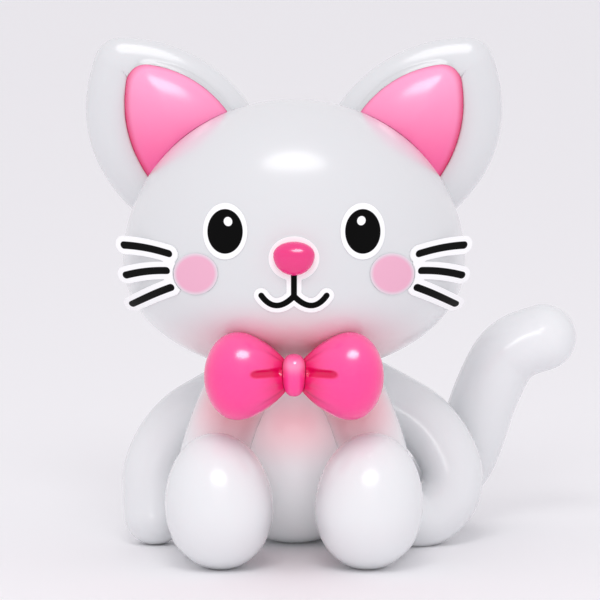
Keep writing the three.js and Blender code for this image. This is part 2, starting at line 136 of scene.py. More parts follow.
@dataclass(frozen=True)
class Signal:
    """A value socket that takes part in plain arithmetic."""

    bench: "Bench"
    socket: bpy.types.NodeSocket

    def __add__(self, other: Number) -> "Signal":
        """Add."""
        return self.bench.math("ADD", self, other)

    def __radd__(self, other: Number) -> "Signal":
        """Add to a number."""
        return self.bench.math("ADD", other, self)

    def __sub__(self, other: Number) -> "Signal":
        """Subtract."""
        return self.bench.math("SUBTRACT", self, other)

    def __rsub__(self, other: Number) -> "Signal":
        """Subtract from a number."""
        return self.bench.math("SUBTRACT", other, self)

    def __mul__(self, other: Number) -> "Signal":
        """Multiply."""
        return self.bench.math("MULTIPLY", self, other)

    def __rmul__(self, other: Number) -> "Signal":
        """Multiply a number."""
        return self.bench.math("MULTIPLY", other, self)

    def clamped(self) -> "Signal":
        """Return the value kept between 0 and 1."""
        return self.bench.math("MAXIMUM", self.bench.math("MINIMUM", self, 1.0), 0.0)


class Bench:
    """Builds the nodes of one material."""

    def __init__(self, name: str) -> None:
        """Start an empty material.

        Args:
            name: The material's name.
        """
        self.material = bpy.data.materials.new(name)
        self.material.use_nodes = True
        self.tree = self.material.node_tree
        self.tree.nodes.clear()

    def add(
        self,
        node_type: str,
        settings: Mapping[str, object] | None = None,
        inputs: Mapping[object, object] | None = None,
        output: object = 0,
    ) -> Signal:
        """Add one node.

        Args:
            node_type: Blender's name of the node's type.
            settings: Properties that are set first.
            inputs: Values or links of the sockets, by name or index.
            output: The output socket that is wanted.

        Returns:
            The wanted output.
        """
        node = self.tree.nodes.new(node_type)
        for key, value in (settings or {}).items():
            setattr(node, key, value)
        for key, value in (inputs or {}).items():
            if isinstance(value, Signal):
                self.tree.links.new(value.socket, node.inputs[key])
            else:
                node.inputs[key].default_value = value
        return Signal(self, node.outputs[output] if node.outputs else None)

    def math(self, operation: str, *values: Number) -> Signal:
        """Return one Math node's result.

        Args:
            operation: The node's operation.
            values: Its one, two or three values.

        Returns:
            The node's output.
        """
        return self.add("ShaderNodeMath", {"operation": operation}, dict(enumerate(values)))

    def blend(self, share: Number, first: object, second: object) -> Signal:
        """Mix two colours.

        Args:
            share: How much of the second colour shows.
            first: A colour or a colour signal.
            second: A colour or a colour signal.

        Returns:
            The mixed colour.
        """
        colours = {0: share, 6: first, 7: second}
        return self.add("ShaderNodeMix", {"data_type": "RGBA"}, colours, output=2)

    def tag(self, name: str) -> Signal:
        """Return a value that is stored on the mesh's points."""
        settings = {"attribute_type": "GEOMETRY", "attribute_name": name}
        return self.add("ShaderNodeAttribute", settings, output="Fac")

    def place(self) -> Signal:
        """Return the point's place on the object, in metres."""
        return self.add("ShaderNodeTexCoord", output="Object")

    def noise(self, scale: float, detail: float = 2.0) -> Signal:
        """Return a smooth noise from 0 to 1.

        Args:
            scale: Waves per metre.
            detail: Octaves.

        Returns:
            The noise value.
        """
        inputs = {"Vector": self.place(), "Scale": scale, "Detail": detail}
        return self.add("ShaderNodeTexNoise", inputs=inputs)

    def bump(self, height: Signal, strength: float, distance: float) -> Signal:
        """Return a normal that is bumped by a height.

        Args:
            height: The height signal.
            strength: The share of the bump that shows.
            distance: The height of a value of 1, in metres.

        Returns:
            The bumped normal.
        """
        inputs = {"Height": height, "Strength": strength, "Distance": distance}
        return self.add("ShaderNodeBump", inputs=inputs)

    def finish(self, inputs: Mapping[str, object]) -> bpy.types.Material:
        """Close the material with a Principled shader.

        Args:
            inputs: Values or links of the shader's sockets.

        Returns:
            The finished material.
        """
        shader = self.add("ShaderNodeBsdfPrincipled", inputs=inputs)
        self.add("ShaderNodeOutputMaterial", inputs={"Surface": shader})
        return self.material


@dataclass(frozen=True)
class Latex:
    """Stretched balloon latex: glossy, deeper in tone and in painted shade, and mixed with painted light.

    The painted light is the bow's pink reflection painted on white latex, and a painted sheen and
    highlight on pink latex. It is deeper where the latex is gathered, and painted shade deepens it
    in the bow's slits, at the loops' far ends and at the inner ears' rims.
    Clouds vary its tone, film and specks its roughness, and their waves are counted per metre.
    The radius of its glow and the height of its bump are in metres.
    """

    name: str
    colour: Colour
    deep_colour: Colour
    flush_colour: Colour
    roughness: float = 0.24
    glow: float = 0.1
    glow_radius: Place = (0.02, 0.016, 0.016)
    glow_scale: float = 0.6
    ior: float = 1.5
    coat: float = 0.5
    coat_roughness: float = 0.17
    cloud_waves: float = 18.0
    film_waves: float = 60.0
    speck_waves: float = 900.0
    octaves: float = 3.0
    cloud_tone: float = 0.14
    film_roughness: float = 0.06
    speck_roughness: float = 0.02
    bump_strength: float = 0.25
    bump_height: float = 0.00008

    def material(self) -> bpy.types.Material:
        """Build the material.

        Returns:
            The finished material.
        """
        bench = Bench(self.name)
        cloud = bench.noise(self.cloud_waves, self.octaves)
        film = bench.noise(self.film_waves, self.octaves)
        speck = bench.noise(self.speck_waves)
        # Deeper tone: real where the latex is gathered, painted shade in creases and at rims.
        gathered = bench.tag("gathered")
        # Painted light mixed into the colour: the bow's pink reflection, and a painted sheen and highlights.
        flushed = bench.blend(bench.tag("flush"), self.colour, self.flush_colour)
        tone = (gathered + cloud * self.cloud_tone - self.cloud_tone / 2).clamped()
        even = self.roughness - (self.film_roughness + self.speck_roughness) / 2
        return bench.finish({
            "Base Color": bench.blend(tone, flushed, self.deep_colour),
            "Roughness": film * self.film_roughness + speck * self.speck_roughness + even,
            "Subsurface Weight": self.glow,
            "Subsurface Radius": self.glow_radius,
            "Subsurface Scale": self.glow_scale,
            "IOR": self.ior,
            "Coat Weight": (1.0 - gathered) * self.coat,
            "Coat Roughness": self.coat_roughness,
            "Normal": bench.bump(speck + cloud * 0.5, self.bump_strength, self.bump_height),
        })


@dataclass(frozen=True)
class Print:
    """Satin vinyl with ink on it, where the mesh says so.

    The edge is how many millimetres the ink takes to fade. Clouds darken the ground a little, and
    a fine grain roughens it. Waves are counted per metre, and the bump's height is in metres.
    """

    name: str
    ground: Colour
    ink: Colour
    roughness: float = 0.5
    edge: float = 0.35
    # A painted glow: the print gives off light in its own colours, though it is no lamp.
    brightener: float = 0.1
    ior: float = 1.46
    specular: float = 0.05
    cloud_waves: float = 45.0
    grain_waves: float = 1400.0
    cloud_share: float = 0.2
    cloud_shade: float = 0.94
    grain_roughness: float = 0.08
    ink_smoothness: float = 0.08
    bump_strength: float = 0.15
    bump_height: float = 0.00003

    @property
    def shaded_ground(self) -> Colour:
        """Return the ground's colour where a cloud darkens it."""
        red, green, blue, alpha = self.ground
        return (self.cloud_shade * red, self.cloud_shade * green, self.cloud_shade * blue, alpha)

    def material(self) -> bpy.types.Material:
        """Build the material.

        Returns:
            The finished material.
        """
        bench = Bench(self.name)
        inked = (0.5 - bench.tag("ink") * (1.0 / self.edge)).clamped()
        grain = bench.noise(self.grain_waves)
        cloud = bench.noise(self.cloud_waves)
        ground = bench.blend(cloud * self.cloud_share, self.ground, self.shaded_ground)
        return bench.finish({
            "Base Color": bench.blend(inked, ground, self.ink),
            "Roughness": grain * self.grain_roughness - inked * self.ink_smoothness + self.roughness,
            "IOR": self.ior,
            "Specular IOR Level": self.specular,
            # Painted glow in the print's own colours.
            "Emission Color": bench.blend(inked, self.ground, self.ink),
            "Emission Strength": self.brightener,
            "Normal": bench.bump(grain, self.bump_strength, self.bump_height),
        })


# White latex: its third colour is the bow's pink reflection, painted on the pieces near the bow.
WHITE_LATEX = Latex(
    "pearl_white_latex", (0.8, 0.81, 0.825, 1.0), (0.68, 0.68, 0.72, 1.0), (0.95, 0.3, 0.37, 1.0),
)
# Rose latex: its third colour is a painted sheen, and its deep colour also paints shade at the rim.
ROSE_LATEX = Latex(
    "rose_pink_latex", (1.0, 0.09, 0.33, 1.0), (0.8, 0.015, 0.13, 1.0), (1.0, 0.42, 0.66, 1.0),
)
# Hot pink latex: its third colour is a painted highlight and sheen, and its deep colour also paints shade in
# the slits and at the loops' far ends.
HOT_PINK_LATEX = Latex(
    "hot_pink_latex", (1.0, 0.045, 0.3, 1.0), (0.74, 0.0, 0.1, 1.0), (1.0, 0.45, 0.65, 1.0),
)
FACE_PRINT = Print("face_print_vinyl", (0.96, 0.96, 0.97, 1.0), (0.003, 0.003, 0.003, 1.0))
BLUSH_PRINT = Print(
    "blush_vinyl", (0.84, 0.8, 0.85, 1.0), (0.93, 0.49, 0.65, 1.0), edge=3.6, brightener=0.0,
)


@dataclass
class Skin:
    """A closed mesh in the making, in millimetres."""

    points: Array
    faces: list[tuple[int, ...]]
    tags: dict[str, Array] = field(default_factory=dict)

    def tag(self, name: str, values: Array) -> "Skin":
        """Store one value per point for the shader.

        Args:
            name: The attribute's name.
            values: One value per point.

        Returns:
            The skin itself.
        """
        self.tags[name] = np.asarray(values, dtype=float)
        return self

    def pressed_by(self, *forms: "Form") -> "Skin":
        """Dent the skin where a firmer neighbour presses into it.

        Args:
            forms: The firmer neighbours.

        Returns:
            The skin itself.
        """
        for form in forms:
            self.points = form.push_out(self.points)
        return self

    def on_floor(self) -> "Skin":
        """Flatten what would reach below the floor."""
        self.points[:, 2] = np.maximum(self.points[:, 2], 0.0)
        return self

    def piece(self, name: str, slot: Slot, material: bpy.types.Material, node: str) -> None:
        """Make the Blender object that stands for a node.

        Args:
            name: The piece's name.
            slot: The record's slot of its finish; it is not used.
            material: Its material.
            node: The node that it replaces.
        """
        mesh = bpy.data.meshes.new(name)
        mesh.from_pydata((self.points * MM).tolist(), [], self.faces)
        mesh.polygons.foreach_set("use_smooth", [True] * len(mesh.polygons))
        for key, values in self.tags.items():
            layer = mesh.attributes.new(key, "FLOAT", "POINT")
            layer.data.foreach_set("value", values.astype(np.float32))
        mesh.materials.append(material)
        mesh.validate()
        piece = bpy.data.objects.new(name, mesh)
        bpy.context.scene.collection.objects.link(piece)
        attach(piece, BODY)
        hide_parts(node)
        LOG.info("%s stands for %s with %d faces", name, node, len(self.faces))


class Form:
    """A shape that is firm enough to dent its neighbours."""

    def push_out(self, points: Array) -> Array:
        """Move the points that lie inside to the surface.

        Args:
            points: Points in millimetres, one a row.

        Returns:
            The points, with an air gap to the surface.
        """
        raise NotImplementedError


def lathe(reach: Array, height: Array, segments: int) -> Skin:
    """Turn a profile about the vertical.

    Args:
        reach: Distances from the axis, 0 at both ends.
        height: Heights, rising.
        segments: Facets around.

    Returns:
        The closed skin.
    """
    turn = np.arange(segments) * 2.0 * math.pi / segments
    rings = len(reach) - 2
    ring_reach = np.asarray(reach)[1:-1, None]
    x = ring_reach * np.cos(turn)
    y = ring_reach * np.sin(turn)
    z = np.repeat(np.asarray(height)[1:-1, None], segments, axis=1)
    body = np.stack([x, y, z], axis=-1).reshape(-1, 3)
    points = np.vstack([body, [[0.0, 0.0, height[0]], [0.0, 0.0, height[-1]]]])
    return Skin(points, ring_faces(rings, segments))


def ring_faces(rings: int, segments: int) -> list[tuple[int, ...]]:
    """Return the faces of rings of points that end in two single points.

    Args:
        rings: The number of rings.
        segments: The number of points on each ring.

    Returns:
        Quads between the rings and triangles at the ends.
    """
    faces: list[tuple[int, ...]] = []
    low, high = rings * segments, rings * segments + 1
    for k in range(segments):
        n = (k + 1) % segments
        faces.append((low, n, k))
        for i in range(rings - 1):
            here, above = i * segments, (i + 1) * segments
            faces.append((here + k, here + n, above + n, above + k))
        last = (rings - 1) * segments
        faces.append((last + k, last + n, high))
    return faces


@dataclass
class Egg(Form):
    """A round balloon: a widest circle with its own rise above and drop below."""

    centre: Array
    half_width: float
    half_depth: float
    rise: float
    drop: float
    tilt: float = 0.0
    fullness: float = 1.0

    def turned(self, points: Array, back: bool = False) -> Array:
        """Turn points about the Y axis by the balloon's tilt.

        Args:
            points: Points about the centre.
            back: Whether to turn them back upright.

        Returns:
            The turned points.
        """
        angle = -self.tilt if back else self.tilt
        cos, sin = math.cos(angle), math.sin(angle)
        x, y, z = points[:, 0], points[:, 1], points[:, 2]
        return np.stack([x * cos + z * sin, y, z * cos - x * sin], axis=1)

    def skin(self, segments: int, rings: int) -> Skin:
        """Build the balloon's skin.

        Args:
            segments: Facets around.
            rings: Facets from pole to pole.

        Returns:
            The closed skin.
        """
        angle = math.pi * (np.arange(rings + 1) / rings - 0.5)
        along = np.sign(angle) * np.abs(np.sin(angle)) ** self.fullness
        height = np.where(angle < 0, self.drop, self.rise) * along
        skin = lathe(np.abs(np.cos(angle)) ** self.fullness, height, segments)
        skin.points *= np.array([self.half_width, self.half_depth, 1.0])
        skin.points = self.turned(skin.points) + self.centre
        return skin

    def push_out(self, points: Array) -> Array:
        """Move the points that lie inside to the surface.

        Args:
            points: Points in millimetres, one a row.

        Returns:
            The points, with an air gap to the surface.
        """
        local = self.turned(points - self.centre, back=True)
        height = np.where(local[:, 2] < 0, self.drop, self.rise)
        even = np.ones(len(local))
        size = np.stack([even * self.half_width, even * self.half_depth, height], axis=1)
        share = np.abs(local / (size + AIR_GAP))
        power = 2.0 / self.fullness
        depth = (np.hypot(share[:, 0], share[:, 1]) ** power + share[:, 2] ** power) ** (1.0 / power)
        inside = depth < 1.0
        local[inside] /= np.maximum(depth[inside, None], NO_SHARE)
        return self.turned(local) + self.centre


@dataclass
class Spine:
    """A smooth curve through points in space."""

    points: Array
    steps: int = 40

    def sampled(self, count: int) -> tuple[Array, Array]:
        """Return evenly spaced points along the curve and its directions there.

        Args:
            count: How many points.

        Returns:
            The points and the unit directions.
        """
        fine = self.centripetal()
        steps = np.linalg.norm(np.diff(fine, axis=0), axis=1)
        along = np.concatenate([[0.0], np.cumsum(steps)])
        wanted = np.linspace(0.0, along[-1], count)
        places = np.stack([np.interp(wanted, along, fine[:, k]) for k in range(3)], axis=1)
        return places, unit(np.gradient(places, axis=0))

    def centripetal(self) -> Array:
        """Return a dense centripetal spline through the points.

        Returns:
            The dense points.
        """
        first, last = 2 * self.points[0] - self.points[1], 2 * self.points[-1] - self.points[-2]
        knots = np.vstack([first, self.points, last])
        out = []
        for i in range(len(knots) - 3):
            p0, p1, p2, p3 = knots[i:i + 4]
            t1 = np.linalg.norm(p1 - p0) ** 0.5
            t2 = t1 + np.linalg.norm(p2 - p1) ** 0.5
            t3 = t2 + np.linalg.norm(p3 - p2) ** 0.5
            t = np.linspace(t1, t2, self.steps, endpoint=False)[:, None]
            a1 = (t1 - t) / t1 * p0 + t / t1 * p1
            a2 = (t2 - t) / (t2 - t1) * p1 + (t - t1) / (t2 - t1) * p2
            a3 = (t3 - t) / (t3 - t2) * p2 + (t - t2) / (t3 - t2) * p3
            b1 = (t2 - t) / t2 * a1 + t / t2 * a2
            b2 = (t3 - t) / (t3 - t1) * a2 + (t - t1) / (t3 - t1) * a3
            out.append((t2 - t) / (t2 - t1) * b1 + (t - t1) / (t2 - t1) * b2)
        return np.vstack(out + [self.points[-1:]])


def bowed(start: Array, end: Array, away: Array, bulge: float, count: int) -> Array:
    """Return points on a leg that bows aside between its ends.

    Args:
        start: The leg's first point.
        end: The leg's last point.
        away: The direction to bow in.
        bulge: How far it bows.
        count: How many points.

    Returns:
        The points.
    """
    along = unit(end - start)
    aside = unit(away - along * float(away @ along))
    share = np.linspace(0.0, 1.0, count)[:, None]
    return start + (end - start) * share + aside * (4.0 * bulge * share * (1.0 - share))


@dataclass
class Tube(Form):
    """A tube balloon with domed ends along a row of centres."""

    centres: Array
    directions: Array
    radii: Array
    fold: int | None = None
    seam: Place = (0.03, 1.0, 0.02)
    dome_rings: int = 12

    @classmethod
    def along(cls, spine: Spine, count: int, radius: Callable[[Array], Array]) -> "Tube":
        """Lay a tube along a spine.

        Args:
            spine: The tube's centre line.
            count: Rings along it.
            radius: The radius at a share of the length.

        Returns:
            The tube.
        """
        places, directions = spine.sampled(count)
        return cls(places, directions, radius(np.linspace(0.0, 1.0, count)))

    def skin(self, segments: int) -> Skin:
        """Build the tube's skin.

        Args:
            segments: Facets around.

        Returns:
            The closed skin.
        """
        dome = (math.pi / 2) * np.arange(1, self.dome_rings) / self.dome_rings
        first, last = self.radii[0], self.radii[-1]
        head, tail = self.directions[0], self.directions[-1]
        centres = np.vstack([
            self.centres[0] - head * (first * np.cos(dome))[:, None],
            self.centres,
            self.centres[-1] + tail * (last * np.cos(dome[::-1]))[:, None],
        ])
        directions = np.vstack([
            np.repeat(head[None], len(dome), axis=0),
            self.directions,
            np.repeat(tail[None], len(dome), axis=0),
        ])
        radii = np.concatenate([first * np.sin(dome), self.radii, last * np.sin(dome[::-1])])
        turn = np.arange(segments) * 2.0 * math.pi / segments
        normal = unit(np.cross(np.cross(directions[0], self.seam), directions[0]))
        rings = []
        for centre, direction, radius in zip(centres, directions, radii):
            normal = unit(normal - direction * float(normal @ direction))
            other = np.cross(direction, normal)
            ring = np.outer(np.cos(turn), normal) + np.outer(np.sin(turn), other)
            rings.append(centre + ring * radius)
        if self.fold is not None:
            self.crease(rings, self.fold + len(dome))
        ends = [self.centres[0] - head * first, self.centres[-1] + tail * last]
        return Skin(np.vstack(rings + ends), ring_faces(len(rings), segments))

    def crease(self, rings: list[Array], fold: int) -> None:
        """Keep both halves of a sharply bent tube on their own side of the bend.

        Args:
            rings: The rings of points, changed in place.
            fold: The ring at the middle of the bend.
        """
        corner = self.centres[self.fold]
        across = self.directions[self.fold]
        for i, ring in enumerate(rings):
            side = -1.0 if i < fold else 1.0
            beyond = (ring - corner) @ across * side
            inner = beyond < AIR_GAP / 2
            if i != fold and abs(i - fold) < len(rings) // 2:
                lift = np.where(inner, AIR_GAP / 2 - beyond, 0.0)
                rings[i] = ring + across * (side * lift)[:, None]

    def push_out(self, points: Array) -> Array:
        """Move the points that lie inside to the surface.

        Args:
            points: Points in millimetres, one a row.

        Returns:
            The points, with an air gap to the surface.
        """
        out = points.copy()
        reach = self.radii.max() + AIR_GAP
        low, high = self.centres.min(axis=0) - reach, self.centres.max(axis=0) + reach
        near = np.nonzero(np.all((points > low) & (points < high), axis=1))[0]
        for i in near:
            gaps = np.linalg.norm(self.centres - points[i], axis=1) - self.radii
            k = int(np.argmin(gaps))
            if gaps[k] < AIR_GAP:
                away = unit(points[i] - self.centres[k])
                out[i] = self.centres[k] + away * (self.radii[k] + AIR_GAP)
        return out


@dataclass
class Pillow(Form):
    """A balloon that fills an outline drawn in X and Z, fullest in the middle.

    It is painted paler to the top, a painted sheen, and its latex is deeper from the first to the
    second share of its rim, partly because it is thicker there and partly as painted shade.
    rim.
    """

    middle: Array
    outline: Array
    front: float
    back: float
    # A painted sheen, paler to the top, and a deeper rim that is partly painted shade.
    flush: float = 0.85
    flush_start: float = 0.85
    rim: Spot = (0.84, 0.99)
    rim_depth: float = 0.8

    def skin(self, rings: int) -> Skin:
        """Build the pillow's skin.

        Args:
            rings: Rings from the front to the back.

        Returns:
            The closed skin, tagged with a painted sheen to its top and a deeper rim, partly painted shade.
        """
        count = len(self.outline)
        angle = math.pi * (np.arange(1, rings) / rings - 0.5)
        depth = np.where(angle < 0, self.front, self.back) * np.sin(angle)
        spread = self.outline - self.middle[[0, 2]]
        points = np.zeros((rings - 1, count, 3))
        points[..., 0] = np.cos(angle)[:, None] * spread[:, 0]
        points[..., 2] = np.cos(angle)[:, None] * spread[:, 1]
        points[..., 1] = depth[:, None]
        ends = [[0.0, -self.front, 0.0], [0.0, self.back, 0.0]]
        local = np.vstack([points.reshape(-1, 3), ends])
        faces = ring_faces(rings - 1, count)
        reach = np.concatenate([np.repeat(np.cos(angle), count), [0.0, 0.0]])
        skin = Skin(local + self.middle, faces)
        low, high = spread[:, 1].min(), spread[:, 1].max()
        # Painted sheen: paler towards the top.
        skin.tag("flush", self.flush * smooth_step(local[:, 2], self.flush_start * low, high))
        # Deeper at the rim: partly thicker latex, partly painted shade.
        return skin.tag("gathered", smooth_step(reach, *self.rim) * self.rim_depth)

    def reach_at(self, heading: Array) -> Array:
        """Return the outline's distance from the middle in each direction.

        Args:
            heading: Directions in the plane, in radians.

        Returns:
            The distances.
        """
        spread = self.outline - self.middle[[0, 2]]
        angles = np.arctan2(spread[:, 1], spread[:, 0])
        order = np.argsort(angles)
        return np.interp(heading, angles[order], np.hypot(*spread.T)[order], period=2.0 * math.pi)

    def push_out(self, points: Array) -> Array:
        """Move the points that lie inside to the surface.

        Args:
            points: Points in millimetres, one a row.

        Returns:
            The points, with an air gap to the surface.
        """
        local = points - self.middle
        reach = self.reach_at(np.arctan2(local[:, 2], local[:, 0])) + AIR_GAP
        depth = np.where(local[:, 1] < 0, self.front, self.back) + AIR_GAP
        share = np.hypot(np.hypot(local[:, 0], local[:, 2]) / reach, local[:, 1] / depth)
        inside = share < 1.0
        local[inside] /= np.maximum(share[inside, None], NO_SHARE)
        return local + self.middle


@dataclass
class Body:
    """The body balloon, which carries the head."""

    half_width: float = 80.0
    half_depth: float = 84.0
    height: float = 185.0
    widest_height: float = 85.0
    floor_press: float = 2.0
    # Strength of the bow's painted pink reflection on the front.
    flush: float = 1.0
    segments: int = 128
    rings: int = 90

    @property
    def form(self) -> Egg:
        """Return the balloon's shape.

        Returns:
            The egg, which reaches just below the floor.
        """
        centre = np.array([0.0, 0.0, self.widest_height])
        rise = self.height - self.widest_height
        return Egg(centre, self.half_width, self.half_depth, rise, self.widest_height + self.floor_press)

    def build(self, head: "Head", bow: "BowTie", white: bpy.types.Material) -> None:
        """Build and dress the body.

        Args:
            head: The head, which presses on it.
            bow: The bow, whose pink reflection is painted on it.
            white: The white latex.
        """
        skin = self.form.skin(self.segments, self.rings).pressed_by(head.form).on_floor()
        # The bow's pink reflection is painted on the body's front.
        bow.flushed(skin, self.flush).piece("body_balloon", Slot.WHITE, white, "body")


@dataclass
class Head:
    """The head balloon, a sphere squashed from below."""

    body: Body
    radius: float = 154.0
    rise: float = 146.0
    drop: float = 99.0
    forward: float = 25.0
    neck_press: float = 25.0
    # Strength of the bow's painted pink reflection on the chin.
    flush: float = 0.35
    segments: int = 192
    rings: int = 128

    @property
    def centre(self) -> Array:
        """Return the middle of the widest circle."""
        return np.array([0.0, -self.forward, self.body.height - self.neck_press + self.drop])

    @property
    def form(self) -> Egg:
        """Return the balloon's shape."""
        return Egg(self.centre, self.radius, self.radius, self.rise, self.drop)

    def width_at(self, up: Array) -> tuple[Array, Array]:
        """Return how wide the head is at a height.

        Args:
            up: Heights above the widest circle.

        Returns:
            The half height of the head on that side of the circle, and its radius there.
        """
        tall = np.where(up > 0, self.rise, self.drop)
        return tall, self.radius * np.sqrt(np.maximum(0.0, 1.0 - (up / tall) ** 2))

    def on_face(self, x: Array, up: Array, lift: Array) -> Array:
        """Return points in front of the face.

        Args:
            x: Places across.
            up: Heights above the widest circle.
            lift: Distances off the skin.

        Returns:
            The points in space.
        """
        tall, around = self.width_at(up)
        depth = np.sqrt(np.maximum(0.0, around ** 2 - x ** 2))
        place = np.stack([x, -depth, up], axis=-1)
        wide = self.radius ** 2
        normal = unit(np.stack([x / wide, -depth / wide, up / tall ** 2], axis=-1))
        return place + normal * np.asarray(lift)[..., None] + self.centre

    def past_face(self, x: Array, up: Array, lift: Array, leave: float) -> Array:
        """Return points on a stiff sheet that leaves the face straight on.

        Args:
            x: Places across.
            up: Heights above the widest circle.
            lift: Distances off the skin.
            leave: The place across where the sheet leaves the head.

        Returns:
            The points in space.
        """
        root_x = np.clip(x, -leave, leave)
        around = self.width_at(up)[1]
        depth = np.sqrt(around ** 2 - root_x ** 2)
        beyond = x - root_x
        step = np.stack([beyond, beyond * root_x / depth, np.zeros_like(x)], axis=-1)
        return self.on_face(root_x, up, lift) + step

    def crown_height(self, distance: float) -> float:
        """Return the crown's height above the widest circle at a distance from the axis."""
        return self.rise * math.sqrt(1.0 - (distance / self.radius) ** 2)

    def build(self, bow: "BowTie", white: bpy.types.Material) -> None:
        """Build and dress the head.

        Args:
            bow: The bow, whose pink reflection is painted on it.
            white: The white latex.
        """
        # The bow's pink reflection is painted on the head's lower front.
        skin = bow.flushed(self.form.skin(self.segments, self.rings), self.flush)
        skin.piece("head_balloon", Slot.WHITE, white, "head")


@dataclass
class Ear:
    """A tube balloon bent to a pointed arch, with a pink balloon pressed into it."""

    head: Head
    side: Side
    tube_radius: float = 25.0
    setback: float = 64.0
    outer_foot_share: float = 0.83
    inner_foot_share: float = 0.4
    height: float = 101.0
    lean: float = 14.0
    outer_bulge: float = 19.0
    inner_bulge: float = 13.0
    inset: float = 7.0
    peak: float = 10.5
    foot_inset: float = 6.0
    pink_outer_bulge: float = 17.7
    pink_inner_bulge: float = 17.0
    pink_forward: float = 18.0
    pink_front: float = 22.0
    pink_back: float = 30.0
    pink_rounding: float = 0.13
    leg_points: int = 60
    fan_points: int = 39
    edge_points: int = 200
    edge_stride: int = 4
    corner_points: int = 20
    segments: int = 96
    pink_rings: int = 80

    def feet(self) -> tuple[Array, Array]:
        """Return where the tube stands on the head.

        Returns:
            The outer foot and the inner foot.
        """
        feet = []
        for share in (self.outer_foot_share, self.inner_foot_share):
            x = share * self.head.radius
            up = self.head.crown_height(math.hypot(x, self.setback))
            feet.append(self.head.centre + np.array([self.side.value * x, self.setback, up]))
        return feet[0], feet[1]

    def upward(self) -> Array:
        """Return the direction from the feet to the tip.

        Returns:
            The unit direction, square to the line between the feet.
        """
        outer, inner = self.feet()
        across = unit(inner - outer)
        return np.array([self.side.value * abs(across[2]), 0.0, abs(across[0])])

    def tip(self) -> Array:
        """Return the bend at the ear's tip."""
        outer, inner = self.feet()
        return (outer + inner) / 2 + self.upward() * self.height + unit(inner - outer) * self.lean

    def tube(self) -> Tube:
        """Bend the tube.

        Returns:
            The tube, with its two legs and a fan of rings at the tip.
        """
        outer, inner = self.feet()
        tip = self.tip()
        sideways = np.array([float(self.side.value), 0.0, 0.0])
        legs = [
            bowed(outer, tip, sideways, self.outer_bulge, self.leg_points),
            bowed(tip, inner, np.array([0.0, 0.0, 1.0]), self.inner_bulge, self.leg_points),
        ]
        ways = [unit(np.gradient(leg, axis=0)) for leg in legs]
        share = np.linspace(0.0, 1.0, self.fan_points + 2)[1:-1, None]
        fan = unit(ways[0][-1] * (1.0 - share) + ways[1][0] * share)
        centres = np.vstack([legs[0], np.repeat(tip[None], len(fan), axis=0), legs[1]])
        directions = np.vstack([ways[0], fan, ways[1]])
        radii = np.full(len(centres), self.tube_radius)
        return Tube(centres, directions, radii, fold=len(legs[0]) + len(fan) // 2)

    def pillow(self) -> Pillow:
        """Shape the pink balloon.

        Returns:
            The pillow, a triangle with bulging sides and rounded corners.
        """
        outer, inner = self.feet()
        sign = self.side.value
        down = -self.upward()
        corners = [
            self.tip() + np.array([-sign * self.inset, 0.0, self.peak]),
            outer + down * self.inset + np.array([-sign * self.foot_inset, 0.0, 0.0]),
            inner + np.array([-sign * 2.0 * self.inset, 0.0, 0.0]),
        ]
        aways = [np.array([float(sign), 0.0, 0.0]), down, np.array([0.0, 0.0, 1.0])]
        bulges = [self.pink_outer_bulge, 0.0, self.pink_inner_bulge]
        count = self.edge_points
        edges = [bowed(corners[i], corners[(i + 1) % 3], aways[i], bulges[i], count) for i in range(3)]
        cut = int(count * self.pink_rounding)
        share = np.linspace(0.0, 1.0, self.corner_points + 2)[1:-1, None]
        rows = []
        for edge, following in zip(edges, edges[1:] + edges[:1]):
            rows.append(edge[cut:count - cut:self.edge_stride])
            rows.append(bent(edge[count - cut], edge[-1], following[cut], share))
        outline = np.vstack(rows)[:, [0, 2]]
        if sign > 0:
            outline = outline[::-1]
        middle_x, middle_z = outline.mean(axis=0)
        middle = np.array([middle_x, outer[1] - self.pink_forward, middle_z])
        return Pillow(middle, outline, self.pink_front, self.pink_back)

    def build(self, white: bpy.types.Material, rose: bpy.types.Material) -> None:
        """Build and dress the ear and its pink balloon.

        Args:
            white: The white latex.
            rose: The rose latex.
        """
        pillow = self.pillow()
        label = self.side.label
        arch = self.tube().skin(self.segments).pressed_by(self.head.form, pillow)
        arch.piece(f"ear_arch_{label}", Slot.WHITE, white, f"ear_{label}")
        pink = pillow.skin(self.pink_rings).pressed_by(self.head.form)
        pink.piece(f"inner_ear_balloon_{label}", Slot.ROSE, rose, f"inner_ear_{label}")


@dataclass
class Paw:
    """An egg-shaped balloon that faces the viewer."""

    side: Side
    radius: float = 48.5
    rise: float = 68.0
    drop: float = 56.0
    spread: float = 67.0
    forward: float = 139.0
    tilt: float = math.radians(5.0)
    floor_press: float = 1.0
    segments: int = 128
    rings: int = 90

    @property
    def form(self) -> Egg:
        """Return the balloon's shape.

        Returns:
            The egg, which leans outward and reaches just below the floor.
        """
        sign = self.side.value
        centre = np.array([sign * self.spread, -self.forward, self.drop - self.floor_press])
        return Egg(centre, self.radius, self.radius, self.rise, self.drop, sign * self.tilt)

    def build(self, white: bpy.types.Material) -> None:
        """Build and dress the paw."""
        skin = self.form.skin(self.segments, self.rings).on_floor()
        skin.piece(f"paw_balloon_{self.side.label}", Slot.WHITE, white, f"paw_{self.side.label}")


